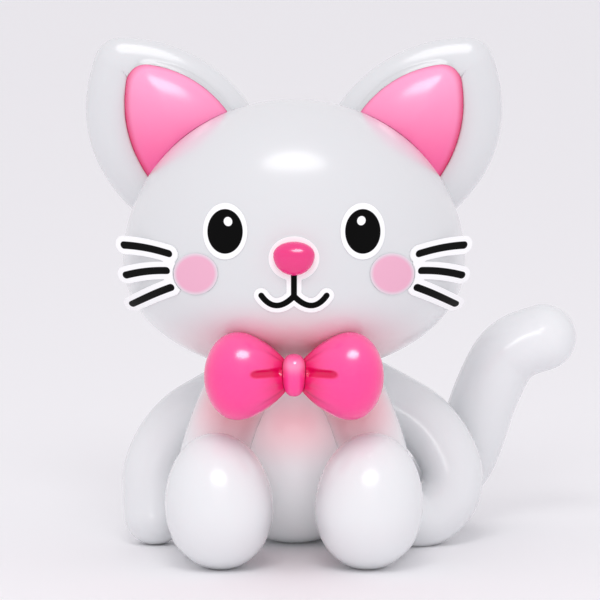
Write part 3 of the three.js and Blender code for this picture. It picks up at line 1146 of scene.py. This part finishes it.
@dataclass
class FrontLeg:
    """An upright tube between the chest and a paw.

    How far out and how far forward it stands is given at its top, its knee and its foot.
    """

    body: Body
    side: Side
    radius: float = 30.0
    top_drop: float = 13.0
    knee_share: float = 0.6
    floor_press: float = 1.0
    spread: tuple[float, float, float] = (53.0, 80.0, 82.0)
    forward: tuple[float, float, float] = (62.0, 77.0, 88.0)
    # Strength of the bow's painted pink reflection on the front.
    flush: float = 0.8
    rings: int = 40
    segments: int = 80

    def tube(self) -> Tube:
        """Return the leg's shape.

        Returns:
            The tube, bent through the places of its top, knee and foot.
        """
        top = self.body.height - self.top_drop - self.radius
        heights = (top, self.knee_share * top, self.radius - self.floor_press)
        places = np.stack([self.side.value * np.array(self.spread), -np.array(self.forward), heights], axis=1)
        centres = bent(*places, np.linspace(0.0, 1.0, self.rings)[:, None])
        return Tube(centres, unit(np.gradient(centres, axis=0)), np.full(self.rings, self.radius))

    def build(self, head: Head, paw: Paw, bow: "BowTie", white: bpy.types.Material) -> None:
        """Build and dress the leg.

        Args:
            head: The head, which presses on the leg's top.
            paw: The paw in front of it.
            bow: The bow, whose pink reflection is painted on it.
            white: The white latex.
        """
        skin = self.tube().skin(self.segments).pressed_by(head.form, self.body.form, paw.form)
        label = self.side.label
        # The bow's pink reflection is painted on the leg's front.
        skin = bow.flushed(skin.on_floor(), self.flush)
        skin.piece(f"front_leg_tube_{label}", Slot.WHITE, white, f"front_leg_{label}")


@dataclass
class Haunch:
    """A fat tube that comes down the flank; the right one turns in behind the paw.

    A bend is given by how far it lies inward from the outermost one, how far forward, and its
    share of the haunch's height.
    """

    side: Side
    radius: float = 27.5
    height: float = 162.0
    left_reach: float = 155.0
    right_reach: float = 171.0
    floor_press: float = 1.0
    flank: tuple[Place, ...] = (
        (72.0, -8.0, 0.83), (52.0, -5.0, 0.764), (30.0, 0.0, 0.684), (12.0, 5.0, 0.56), (1.0, 10.0, 0.4),
    )
    ankle_share: float = 0.27
    left_foot: tuple[Spot, ...] = ((1.0, 15.0), (2.0, 19.0))
    right_foot: tuple[Spot, ...] = ((4.0, 15.0), (22.0, 22.0), (52.0, 30.0))
    rings: int = 110
    segments: int = 96

    @property
    def reach(self) -> float:
        """Return how far out the haunch stands."""
        return self.left_reach if self.side is Side.LEFT else self.right_reach

    def foot(self) -> list[Place]:
        """Return the lowest bends: the ankle, and those that lie on the floor.

        Returns:
            The bends, from the ankle on.
        """
        low = (self.radius - self.floor_press) / self.height
        spots = self.left_foot if self.side is Side.LEFT else self.right_foot
        return [(*spot, low if k else self.ankle_share) for k, spot in enumerate(spots)]

    def tube(self) -> Tube:
        """Return the haunch's shape.

        Returns:
            The tube through all its bends.
        """
        outer = self.reach - self.radius
        points = [
            [self.side.value * (outer - inward), -forward, self.height * share]
            for inward, forward, share in [*self.flank, *self.foot()]
        ]
        return Tube.along(Spine(np.array(points)), self.rings, lambda at: np.full_like(at, self.radius))

    def build(self, firm: Sequence[Form], white: bpy.types.Material) -> None:
        """Build and dress the haunch.

        Args:
            firm: The neighbours that dent it.
            white: The white latex.
        """
        skin = self.tube().skin(self.segments).pressed_by(*firm).on_floor()
        skin.piece(f"haunch_tube_{self.side.label}", Slot.WHITE, white, f"haunch_{self.side.label}")


@dataclass
class Tail:
    """A tube that rises behind the right haunch and bends outward at its tip.

    A bend is given by its share of the tail's reach, how far it lies behind the others, and its
    share of the tail's height.
    """

    root_radius: float = 29.0
    tip_radius: float = 30.0
    reach: float = 255.0
    height: float = 204.0
    back: float = 68.0
    bends: tuple[Place, ...] = (
        (0.151, -2.0, 0.194), (0.331, 16.0, 0.137), (0.477, 16.0, 0.167), (0.582, 8.0, 0.27),
        (0.629, 4.0, 0.397), (0.677, 0.0, 0.583), (0.747, -2.0, 0.76), (0.8, -4.0, 0.816),
    )
    rings: int = 150
    segments: int = 96

    def tube(self) -> Tube:
        """Return the tail's shape.

        Returns:
            The tube through its bends and its tip.
        """
        points = [[self.reach * x, self.back + y, self.height * z] for x, y, z in self.bends]
        points.append([self.reach - self.tip_radius, points[-1][1], self.height - self.tip_radius])
        swell = self.tip_radius - self.root_radius
        return Tube.along(Spine(np.array(points)), self.rings, lambda at: self.root_radius + swell * at)

    def build(self, firm: Sequence[Form], white: bpy.types.Material) -> None:
        """Build and dress the tail.

        Args:
            firm: The neighbours that dent it.
            white: The white latex.
        """
        skin = self.tube().skin(self.segments).pressed_by(*firm).on_floor()
        skin.piece("tail_tube", Slot.WHITE, white, "tail")


@dataclass
class BowTie:
    """Two pink loops that meet in a knot under the chin.

    A pair is where a pleat, slit, rim or reflection begins to change and where it has changed. A
    loop's pair is measured outward from the middle of the bow, and its rim's from its far end. The
    bow's pink reflection is painted on its neighbours. A painted sheen lightens the loops' tops and a
    painted highlight the knot's crown, and painted shade deepens the slits and the loops' far ends.
    """

    head: Head
    half_span: float = 80.5
    loop_half_height: float = 40.0
    swell: tuple[float, ...] = (0.955, 0.3, -0.08, -0.04)
    flatness: float = 0.77
    neck_inset: float = 1.5
    seat_drop: float = 60.0
    press: float = 5.0
    knot_half_width: float = 10.4
    knot_rise: float = 15.0
    knot_drop: float = 23.0
    knot_half_depth: float = 15.0
    knot_forward: float = 9.0
    knot_raise: float = 6.4
    knot_fullness: float = 0.74
    knot_rim: Spot = (5.0, 10.0)
    knot_rim_depth: float = 0.25
    # A painted highlight on the knot's crown.
    knot_crown_share: float = 0.45
    knot_crown_width: float = 6.0
    knot_crown_flush: float = 0.5
    slit_raise: float = 6.0
    slit_depth: float = 4.2
    slit_half_width: float = 3.4
    slit_start: Spot = (8.0, 14.0)
    slit_end: Spot = (32.0, 43.0)
    # Painted shade in the slits' creases.
    slit_gather: Spot = (0.1, 0.5)
    pleats: int = 13
    pleat_depth: float = 0.7
    pleat_radius: float = 20.0
    pleat_end: Spot = (10.0, 42.0)
    neck_depth: float = 0.75
    neck_fade: float = 2.5
    # Painted shade, deeper towards each loop's far end.
    rim_start: Spot = (-6.0, 2.0)
    rim_depth: float = 0.25
    # A painted sheen, paler towards each loop's top.
    loop_flush: float = 0.09
    loop_flush_low: float = 0.2
    # Where the bow's pink reflection is painted on its neighbours.
    reflection_front: Spot = (55.0, 100.0)
    reflection_end: Spot = (0.8, 1.9)
    reflection_stretch: float = 1.4
    loop_segments: int = 288
    loop_rings: int = 128
    knot_segments: int = 96
    knot_rings: int = 64

    @property
    def centre(self) -> Array:
        """Return the middle between the loops."""
        lift = self.flatness * self.loop_half_height - self.press
        return self.head.on_face(np.array(0.0), np.array(-self.seat_drop), np.array(lift))

    @property
    def knot(self) -> Egg:
        """Return the knot's shape.

        Returns:
            The egg, square-shouldered and longer below.
        """
        centre = self.centre + np.array([0.0, -self.knot_forward, self.knot_raise])
        sizes = (self.knot_half_width, self.knot_half_depth, self.knot_rise, self.knot_drop)
        return Egg(centre, *sizes, fullness=self.knot_fullness)

    def loop(self, side: Side) -> Skin:
        """Build one loop's skin.

        Args:
            side: The loop's side.

        Returns:
            The closed skin, tagged deeper where the latex is gathered and where shade is painted, and
            paler where a sheen is painted.
        """
        half_length = (self.half_span - self.neck_inset) / 2
        angle = math.pi * (np.arange(self.loop_rings + 1) / self.loop_rings - 0.5)
        swell = sum(factor * np.sin(angle) ** k for k, factor in enumerate(self.swell))
        reach = self.loop_half_height * np.cos(angle) * swell
        skin = lathe(reach, half_length * np.sin(angle), self.loop_segments)
        local = skin.points
        out = local[:, 2] + half_length + self.neck_inset
        turn = np.arctan2(local[:, 1], local[:, 0])
        near = 1.0 - smooth_step(out, *self.pleat_end)
        pleating = self.pleat_depth / self.pleat_radius
        ripple = 1.0 - pleating * near * (1.0 + np.cos(self.pleats * turn))
        local[:, :2] *= ripple[:, None]
        sign = float(side.value)
        x = sign * out
        y = -sign * local[:, 1] * self.flatness
        z = local[:, 0]
        slit = np.exp(-((z - self.slit_raise) / self.slit_half_width) ** 2) * (y < 0)
        slit *= (1.0 - smooth_step(out, *self.slit_end)) * smooth_step(out, *self.slit_start)
        y = y + slit * self.slit_depth
        skin.points = np.stack([x, y, z], axis=1) + np.array([0.0, self.centre[1], self.centre[2]])
        # Painted shade: deeper towards the far end and in the slits. The neck is deeper where the latex is
        # gathered.
        rim = self.rim_depth * smooth_step(out - 2.0 * half_length, *self.rim_start)
        neck = self.neck_depth * near ** self.neck_fade
        skin.tag("gathered", np.clip(neck + smooth_step(slit, *self.slit_gather) + rim, 0.0, 1.0))
        # Painted sheen: paler towards the top.
        tall = self.loop_half_height
        return skin.tag("flush", self.loop_flush * smooth_step(z, -self.loop_flush_low * tall, tall))

    def flushed(self, skin: Skin, strength: float) -> Skin:
        """Paint the bow's pink reflection on the front of a neighbour.

        Args:
            skin: The neighbour's skin.
            strength: The painted reflection right behind the bow.

        Returns:
            The skin itself.
        """
        # Painted reflection: the pink fades away from behind the bow and towards the back.
        x, y, z = skin.points.T
        up = z - self.centre[2]
        stretch = np.where(up > 0, 1.0, self.reflection_stretch)
        reach = np.hypot(x / self.half_span, up / (stretch * self.loop_half_height))
        front = smooth_step(-y, *self.reflection_front)
        return skin.tag("flush", strength * front * (1.0 - smooth_step(reach, *self.reflection_end)))

    def build(self, pink: bpy.types.Material) -> None:
        """Build and dress the knot and both loops.

        Args:
            pink: The hot pink latex.
        """
        knot = self.knot.skin(self.knot_segments, self.knot_rings)
        across, _, up = (knot.points - self.knot.centre).T
        knot.tag("gathered", self.knot_rim_depth * smooth_step(np.abs(across), *self.knot_rim))
        # Painted highlight on the knot's crown.
        off_crown = (up - self.knot_crown_share * self.knot_rise) / self.knot_crown_width
        knot.tag("flush", self.knot_crown_flush * np.exp(-off_crown ** 2))
        knot.pressed_by(self.head.form).piece("bow_knot_balloon", Slot.HOT_PINK, pink, "bow_knot")
        for side in Side:
            loop = self.loop(side).pressed_by(self.head.form, self.knot)
            loop.piece(f"bow_loop_balloon_{side.label}", Slot.HOT_PINK, pink, f"bow_loop_{side.label}")


Field = Callable[[Array, Array], Array]


def oval(x: float, up: float, half_width: float, half_height: float, turn: float = 0.0) -> Field:
    """Return the distance to an oval's edge, negative inside.

    Args:
        x: Its middle's place across.
        up: Its middle's height.
        half_width: Its half width.
        half_height: Its half height.
        turn: Its turn about its middle, counter-clockwise.

    Returns:
        The distance field.
    """
    def distance(across: Array, tall: Array) -> Array:
        """Return the distance to the oval's edge.

        Args:
            across: Places across.
            tall: Heights above the widest circle.

        Returns:
            The distances.
        """
        cos, sin = math.cos(turn), math.sin(turn)
        a = (across - x) * cos + (tall - up) * sin
        b = (tall - up) * cos - (across - x) * sin
        first = np.hypot(a / half_width, b / half_height) + NO_LENGTH
        second = np.hypot(a / half_width ** 2, b / half_height ** 2) + NO_LENGTH
        return np.where(first < NO_SHARE, -half_width, first * (first - 1.0) / second)
    return distance


def stroke(start: Spot, middle: Spot, end: Spot) -> Field:
    """Return the distance to a curved line.

    Args:
        start: Its first point.
        middle: The point that bends it.
        end: Its last point.

    Returns:
        The distance field.
    """
    share = np.linspace(0.0, 1.0, STROKE_POINTS)[:, None]
    curve = bent(np.array(start), np.array(middle), np.array(end), share)

    def distance(across: Array, tall: Array) -> Array:
        """Return the distance to the line.

        Args:
            across: Places across.
            tall: Heights above the widest circle.

        Returns:
            The distances.
        """
        best = np.full(np.shape(across), np.inf)
        for p, q in zip(curve[:-1], curve[1:]):
            run = q - p
            along = ((across - p[0]) * run[0] + (tall - p[1]) * run[1]) / float(run @ run)
            along = np.clip(along, 0.0, 1.0)
            aside = np.hypot(across - p[0] - along * run[0], tall - p[1] - along * run[1])
            best = np.minimum(best, aside)
        return best
    return distance


def any_of(*fields: Field, grown: float = 0.0) -> Field:
    """Return the union of fields.

    Args:
        fields: The distance fields.
        grown: How much wider the union is.

    Returns:
        The joined field.
    """
    return lambda across, tall: np.min([f(across, tall) for f in fields], axis=0) - grown


def without(main: Field, hole: Field) -> Field:
    """Return a field with another one cut out of it."""
    return lambda across, tall: np.maximum(main(across, tall), -hole(across, tall))


@dataclass
class DieCut:
    """A printed sheet, cut to an outline and laid on the face.

    It is cut on a grid from its low to its high corner, whose cells are a step wide.
    """

    outline: Field
    ink: Field
    low: Spot
    high: Spot
    thickness: float = 0.6
    step: float = 0.8

    def corners(self) -> tuple[Array, Array]:
        """Lay a grid over the sheet.

        Returns:
            The places across and the heights of its corners.
        """
        x = np.arange(self.low[0], self.high[0] + self.step, self.step)
        z = np.arange(self.low[1], self.high[1] + self.step, self.step)
        return np.meshgrid(x, z, indexing="ij")

    def flat(self) -> tuple[Array, list[tuple[int, ...]]]:
        """Cut the sheet along the outline.

        Returns:
            The flat points and the faces, which turn counter-clockwise.
        """
        x, z = self.corners()
        gap = self.outline(x, z)
        points: list[Spot] = []
        known: dict[tuple[tuple[int, int], tuple[int, int]], int] = {}
        faces = []

        def vertex(a: tuple[int, int], b: tuple[int, int]) -> int:
            """Return the point where the outline passes between two grid corners.

            Args:
                a: A corner.
                b: Its neighbour, or the corner itself where it lies inside.

            Returns:
                The point's number, the same one each time.
            """
            key = (min(a, b), max(a, b))
            if key not in known:
                share = 0.0 if a == b else float(gap[key[0]] / (gap[key[0]] - gap[key[1]]))
                first, last = key
                known[key] = len(points)
                points.append((
                    float(x[first] + (x[last] - x[first]) * share),
                    float(z[first] + (z[last] - z[first]) * share),
                ))
            return known[key]

        for i, j in zip(*np.nonzero(self.touched(gap))):
            ring = [(i, j), (i + 1, j), (i + 1, j + 1), (i, j + 1)]
            face = []
            for a, b in zip(ring, ring[1:] + ring[:1]):
                if gap[a] < 0:
                    face.append(vertex(a, a))
                if (gap[a] < 0) != (gap[b] < 0):
                    face.append(vertex(a, b))
            faces.append(tuple(face))
        return np.array(points), faces

    @staticmethod
    def touched(gap: Array) -> Array:
        """Return which grid cells have a corner inside the outline."""
        inside = gap < 0
        return inside[:-1, :-1] | inside[1:, :-1] | inside[:-1, 1:] | inside[1:, 1:]

    def skin(self, lay: Callable[[Array, Array, Array], Array]) -> Skin:
        """Lay the sheet on the face.

        Args:
            lay: Places points across, up and off the skin in space.

        Returns:
            The closed skin, tagged with the distance to the ink's edge.
        """
        flat, faces = self.flat()
        count = len(flat)
        x, z = flat[:, 0], flat[:, 1]
        front = lay(x, z, np.full(count, AIR_GAP + self.thickness))
        back = lay(x, z, np.full(count, AIR_GAP))
        edges = {(a, b) for face in faces for a, b in zip(face, face[1:] + face[:1])}
        walls = [(b, a, a + count, b + count) for a, b in edges if (b, a) not in edges]
        behind = [tuple(k + count for k in reversed(face)) for face in faces]
        skin = Skin(np.vstack([front, back]), faces + behind + walls)
        return skin.tag("ink", np.concatenate([self.ink(x, z), np.full(count, CLEAR_OF_INK)]))


@dataclass
class Eye:
    """A sticker eye: a black oval with a white dot and a white border."""

    side: Side
    dot_shift: Spot
    spread: float = 61.2
    rise: float = 49.8
    half_width: float = 19.7
    half_height: float = 23.9
    tilt: float = math.radians(9.5)
    ink_half_width: float = 15.7
    ink_half_height: float = 18.9
    dot_radius: float = 3.8

    def build(self, head: Head, printed: bpy.types.Material) -> None:
        """Build and dress the eye.

        Args:
            head: The head it is stuck on.
            printed: The printed vinyl.
        """
        x, up = self.side.value * self.spread, self.rise
        turn = self.side.value * self.tilt
        pupil = oval(x, up, self.ink_half_width, self.ink_half_height, turn)
        dot = oval(x + self.dot_shift[0], up + self.dot_shift[1], self.dot_radius, self.dot_radius)
        sheet = DieCut(
            oval(x, up, self.half_width, self.half_height, turn),
            without(pupil, dot),
            (x - self.half_height, up - self.half_height - GRID_MARGIN),
            (x + self.half_height, up + self.half_height + GRID_MARGIN),
        )
        skin = sheet.skin(head.on_face)
        skin.piece(f"eye_sticker_{self.side.label}", Slot.PRINT, printed, f"eye_{self.side.label}")


@dataclass
class Cheek:
    """A pink sticker oval that fades at its edge."""

    side: Side
    spread: float = 87.5
    rise: float = 10.6
    half_width: float = 20.4
    half_height: float = 17.8
    tilt: float = math.radians(33.0)
    fade_inset: float = 1.6

    def edge(self) -> Field:
        """Return the distance to the cheek's edge."""
        sign = self.side.value
        return oval(sign * self.spread, self.rise, self.half_width, self.half_height, -sign * self.tilt)

    def build(self, head: Head, vinyl: bpy.types.Material) -> None:
        """Build and dress the cheek.

        Args:
            head: The head it is stuck on.
            vinyl: The pink vinyl.
        """
        x = self.side.value * self.spread
        wide = self.half_width + GRID_MARGIN
        low, high = (x - wide, self.rise - wide), (x + wide, self.rise + wide)
        blush = any_of(self.edge(), grown=-self.fade_inset)
        skin = DieCut(self.edge(), blush, low, high).skin(head.on_face)
        skin.piece(f"cheek_sticker_{self.side.label}", Slot.BLUSH, vinyl, f"cheek_{self.side.label}")


@dataclass
class Whiskers:
    """Three whiskers on one stiff sheet, which stands off beside the cheek."""

    cheek: Cheek
    roots: tuple[Spot, ...] = ((111.0, 25.2), (113.0, 10.1), (109.0, -4.2))
    tips: tuple[Spot, ...] = ((151.4, 24.4), (149.5, -1.4), (144.0, -28.4))
    bow: float = 1.3
    leave_x: float = 118.0
    line_width: float = 6.3
    border: float = 4.5
    thickness: float = 1.2
    clearance: float = 0.8

    def build(self, head: Head, printed: bpy.types.Material) -> None:
        """Build and dress the whiskers.

        Args:
            head: The head they are stuck on.
            printed: The printed vinyl.
        """
        sign = self.cheek.side.value
        lines = []
        for (root_x, root), (tip_x, tip) in zip(self.roots, self.tips):
            middle = (sign * (root_x + tip_x) / 2, (root + tip) / 2 + 2 * self.bow)
            lines.append(stroke((sign * root_x, root), middle, (sign * tip_x, tip)))
        first, last = ((sign * x, up) for x, up in (self.roots[0], self.roots[-1]))
        web = stroke(first, ((first[0] + last[0]) / 2, (first[1] + last[1]) / 2), last)
        wide = self.line_width / 2 + self.border
        whole = any_of(any_of(*lines, grown=wide), any_of(web, grown=self.border))
        ends = np.array(self.roots + self.tips)
        room = wide + GRID_MARGIN
        near, far = ends[:, 0].min() - room, ends[:, 0].max() + room
        sheet = DieCut(
            without(whole, any_of(self.cheek.edge(), grown=self.clearance)),
            any_of(*lines, grown=self.line_width / 2),
            (min(sign * near, sign * far), ends[:, 1].min() - room),
            (max(sign * near, sign * far), ends[:, 1].max() + room),
            self.thickness,
        )
        skin = sheet.skin(lambda x, up, lift: head.past_face(x, up, lift, self.leave_x))
        label = self.cheek.side.label
        skin.piece(f"whisker_sheet_{label}", Slot.PRINT, printed, f"whiskers_{label}")


@dataclass
class Muzzle:
    """A small pink nose balloon on a sticker pad with the smile below it."""

    nose_raise: float = 28.8
    half_width: float = 18.6
    rise: float = 12.0
    drop: float = 18.6
    half_depth: float = 12.0
    proud: float = 0.55
    border: float = 4.0
    line_width: float = 5.4
    half_span: float = 29.0
    smile_raise: float = -4.2
    dip: float = 8.8
    bend_share: float = 0.57
    pad_thickness: float = 0.6
    nose_tone: float = 0.3
    segments: int = 96
    rings: int = 64

    @property
    def half_height(self) -> float:
        """Return half of the nose's height."""
        return (self.rise + self.drop) / 2

    def build(self, head: Head, pink: bpy.types.Material, printed: bpy.types.Material) -> None:
        """Build and dress the nose and the mouth.

        Args:
            head: The head they sit on.
            pink: The pink latex.
            printed: The printed vinyl.
        """
        raised = self.pad_thickness + AIR_GAP
        lift = np.array(self.half_depth * self.proud)
        place = head.on_face(np.array(0.0), np.array(self.nose_raise), lift)
        place[2] += (self.drop - self.rise) / 2
        nose = Egg(place, self.half_width, self.half_depth, self.rise, self.drop)
        wide = head.radius + raised
        pad = Egg(head.centre, wide, wide, head.rise + raised, head.drop + raised)
        skin = nose.skin(self.segments, self.rings)
        skin.tag("gathered", np.full(len(skin.points), self.nose_tone))
        skin.pressed_by(pad).piece("nose_balloon", Slot.HOT_PINK, pink, "nose")
        self.mouth().skin(head.on_face).piece("mouth_sticker", Slot.PRINT, printed, "mouth")

    def mouth(self) -> DieCut:
        """Draw the smile and the pad behind the nose.

        Returns:
            The printed sheet.
        """
        fork = (0.0, self.smile_raise)
        dipped = self.smile_raise - 2.0 * self.dip
        lines = [stroke((0.0, self.nose_raise), (0.0, self.nose_raise / 2), fork)]
        for side in Side:
            bend = (side.value * self.bend_share * self.half_span, dipped)
            lines.append(stroke(fork, bend, (side.value * self.half_span, self.smile_raise)))
        wide = self.line_width / 2 + self.border
        tall = self.half_height + self.border
        pad = oval(0.0, self.nose_raise, self.half_width + self.border, tall)
        reach = self.half_span + wide + GRID_MARGIN
        return DieCut(
            any_of(pad, any_of(*lines, grown=wide)),
            any_of(*lines, grown=self.line_width / 2),
            (-reach, self.smile_raise - self.dip - wide - GRID_MARGIN),
            (reach, self.nose_raise + tall + GRID_MARGIN),
        )


class Throw(Enum):
    """What a light does to a surface."""

    FILL = "light without a highlight"
    SOAK = "light without a highlight or a shadow"
    GLINT = "highlight alone, without a shadow"


@dataclass(frozen=True)
class Lamp:
    """A soft oval light over the cat.

    Its place and target are in metres, its size is its width and height, its power is in watts,
    and its roll about its own direction in degrees. It lights the pieces whose names start with
    one of the words in lit, or everything where there is none.
    """

    name: str
    place: Place
    target: Place
    size: Spot
    power: float
    throw: Throw
    lit: tuple[str, ...] = ()
    roll: float = 0.0

    def hang(self) -> None:
        """Hang the light where it belongs, once the pieces that it lights are there."""
        lamp = bpy.data.lights.new(self.name, "AREA")
        lamp.shape = "ELLIPSE"
        lamp.size, lamp.size_y = self.size
        lamp.energy = self.power
        lamp.use_shadow = self.throw is Throw.FILL
        item = bpy.data.objects.new(self.name, lamp)
        item.location = self.place
        aim = (Vector(self.target) - Vector(self.place)).to_track_quat("-Z", "Y")
        roll = Quaternion((0.0, 0.0, 1.0), math.radians(self.roll))
        item.rotation_euler = (aim @ roll).to_euler()
        item.visible_diffuse = self.throw is not Throw.GLINT
        item.visible_glossy = self.throw is Throw.GLINT
        bpy.context.scene.collection.objects.link(item)
        if self.lit:
            group = bpy.data.collections.new(f"lit_by_{self.name}")
            for piece in [o for o in bpy.data.objects if o.name.startswith(self.lit)]:
                group.objects.link(piece)
            item.light_linking.receiver_collection = group


LAMPS = (
    Lamp("soft_key", (-0.1, -1.6, 2.2), (0.0, 0.0, 0.25), (1.0, 1.0), 11.0, Throw.FILL),
    Lamp(
        "low_fill", (0.1, -2.4, 0.7), (0.0, 0.0, 0.1), (1.6, 1.0), 9.0, Throw.FILL,
        ("paw_balloon", "inner_ear", "tail_tube", "body_balloon", "front_leg", "bow_"),
    ),
    Lamp(
        "chest_fill", (0.0, -2.4, 0.12), (0.0, 0.0, 0.05), (0.2, 0.2), 12.0, Throw.SOAK,
        ("body_balloon",),
    ),
    Lamp("haunch_fill", (0.0, -2.4, 0.5), (0.0, 0.0, 0.1), (0.6, 0.6), 6.0, Throw.SOAK, ("haunch",)),
    Lamp("tail_fill", (-1.0, -2.0, 0.9), (0.2, 0.0, 0.15), (0.6, 0.6), 4.0, Throw.FILL, ("tail_tube",)),
    Lamp(
        "head_glint", (0.0, -0.12, 1.7), (0.0, -0.1, 0.3), (0.8, 0.42), 3.2, Throw.GLINT,
        ("head_balloon",),
    ),
    Lamp("ear_glint", (0.0, -0.12, 1.7), (0.0, -0.1, 0.3), (1.2, 1.1), 9.0, Throw.GLINT, ("ear_arch",)),
    Lamp(
        "bow_glint", (0.3, -1.09, 1.36), (0.0, -0.17, 0.18), (1.0, 0.55), 16.0, Throw.GLINT,
        ("bow_", "nose_balloon"),
    ),
    Lamp(
        "paw_glint", (0.05, -2.2, 1.6), (0.0, -0.15, 0.1), (1.5, 0.8), 20.0, Throw.GLINT,
        ("paw_balloon", "inner_ear"),
    ),
    Lamp(
        "haunch_glint", (-0.61, -2.31, 0.25), (0.13, 0.0, 0.08), (0.6, 0.35), 2.5, Throw.GLINT,
        ("haunch",),
    ),
    Lamp(
        "tail_glint", (-0.35, -2.0, 1.25), (0.2, 0.07, 0.16), (2.2, 0.25), 9.0, Throw.GLINT,
        ("tail_tube",), 50.0,
    ),
)


@dataclass
class Studio:
    """A pale studio: a wide floor, soft lights and the camera, in metres."""

    lamps: tuple[Lamp, ...] = LAMPS
    target: Place = (0.0054, -0.025, 0.2239)
    elevation: float = math.radians(10.0)
    distance: float = 20.0
    frame_width: float = 0.54
    sensor_width: float = 36.0
    clip_end: float = 100.0
    floor_half_width: float = 12.0
    floor_colour: Colour = (0.97, 0.965, 0.98, 1.0)
    floor_roughness: float = 0.6
    floor_specular: float = 0.2
    air_colour: Colour = (0.985, 0.965, 1.0, 1.0)
    air_strength: float = 0.84

    def build(self) -> None:
        """Build the floor, the lights and the camera."""
        self.build_floor()
        self.build_air()
        for lamp in self.lamps:
            lamp.hang()
        self.build_camera()

    def build_floor(self) -> None:
        """Lay the pale floor, wide enough to fill the picture from every side."""
        wide = self.floor_half_width
        mesh = bpy.data.meshes.new("pale_floor")
        corners = [(-wide, -wide, 0.0), (wide, -wide, 0.0), (wide, wide, 0.0), (-wide, wide, 0.0)]
        mesh.from_pydata(corners, [], [(0, 1, 2, 3)])
        mesh.materials.append(Bench("pale_paper").finish({
            "Base Color": self.floor_colour,
            "Roughness": self.floor_roughness,
            "Specular IOR Level": self.floor_specular,
        }))
        floor = bpy.data.objects.new("pale_floor", mesh)
        bpy.context.scene.collection.objects.link(floor)

    def build_air(self) -> None:
        """Light everything evenly from all round."""
        world = bpy.data.worlds.new("soft_room")
        world.use_nodes = True
        background = world.node_tree.nodes["Background"]
        background.inputs["Color"].default_value = self.air_colour
        background.inputs["Strength"].default_value = self.air_strength
        bpy.context.scene.world = world

    def build_camera(self) -> None:
        """Place the camera at the picture's viewing angle."""
        data = bpy.data.cameras.new("camera")
        data.sensor_width = self.sensor_width
        data.lens = self.sensor_width * self.distance / self.frame_width
        data.clip_end = self.clip_end
        data.dof.use_dof = False
        camera = bpy.data.objects.new("camera", data)
        back = Vector((0.0, -math.cos(self.elevation), math.sin(self.elevation))) * self.distance
        camera.location = Vector(self.target) + back
        camera.rotation_euler = (math.pi / 2 - self.elevation, 0.0, 0.0)
        bpy.context.scene.collection.objects.link(camera)
        bpy.context.scene.camera = camera
        bpy.context.scene.view_settings.view_transform = "Standard"


def main() -> None:
    """Build the cat piece by piece, then the studio."""
    logging.basicConfig(level=logging.INFO, format="%(name)s: %(message)s")
    white = WHITE_LATEX.material()
    rose = ROSE_LATEX.material()
    pink = HOT_PINK_LATEX.material()
    printed = FACE_PRINT.material()
    blush = BLUSH_PRINT.material()

    body = Body()
    head = Head(body)
    bow = BowTie(head)
    head.build(bow, white)
    body.build(head, bow, white)
    for side in Side:
        Ear(head, side).build(white, rose)
        paw = Paw(side)
        paw.build(white)
        leg = FrontLeg(body, side)
        leg.build(head, paw, bow, white)
        Haunch(side).build([head.form, body.form, paw.form, leg.tube()], white)
    Tail().build([body.form, Haunch(Side.RIGHT).tube()], white)
    bow.build(pink)
    Eye(Side.LEFT, dot_shift=(2.6, 8.7)).build(head, printed)
    Eye(Side.RIGHT, dot_shift=(-1.3, 9.3)).build(head, printed)
    for side in Side:
        cheek = Cheek(side)
        cheek.build(head, blush)
        Whiskers(cheek).build(head, printed)
    Muzzle().build(head, pink, printed)
    Studio().build()

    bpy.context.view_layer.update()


if __name__ == "__main__":
    main()
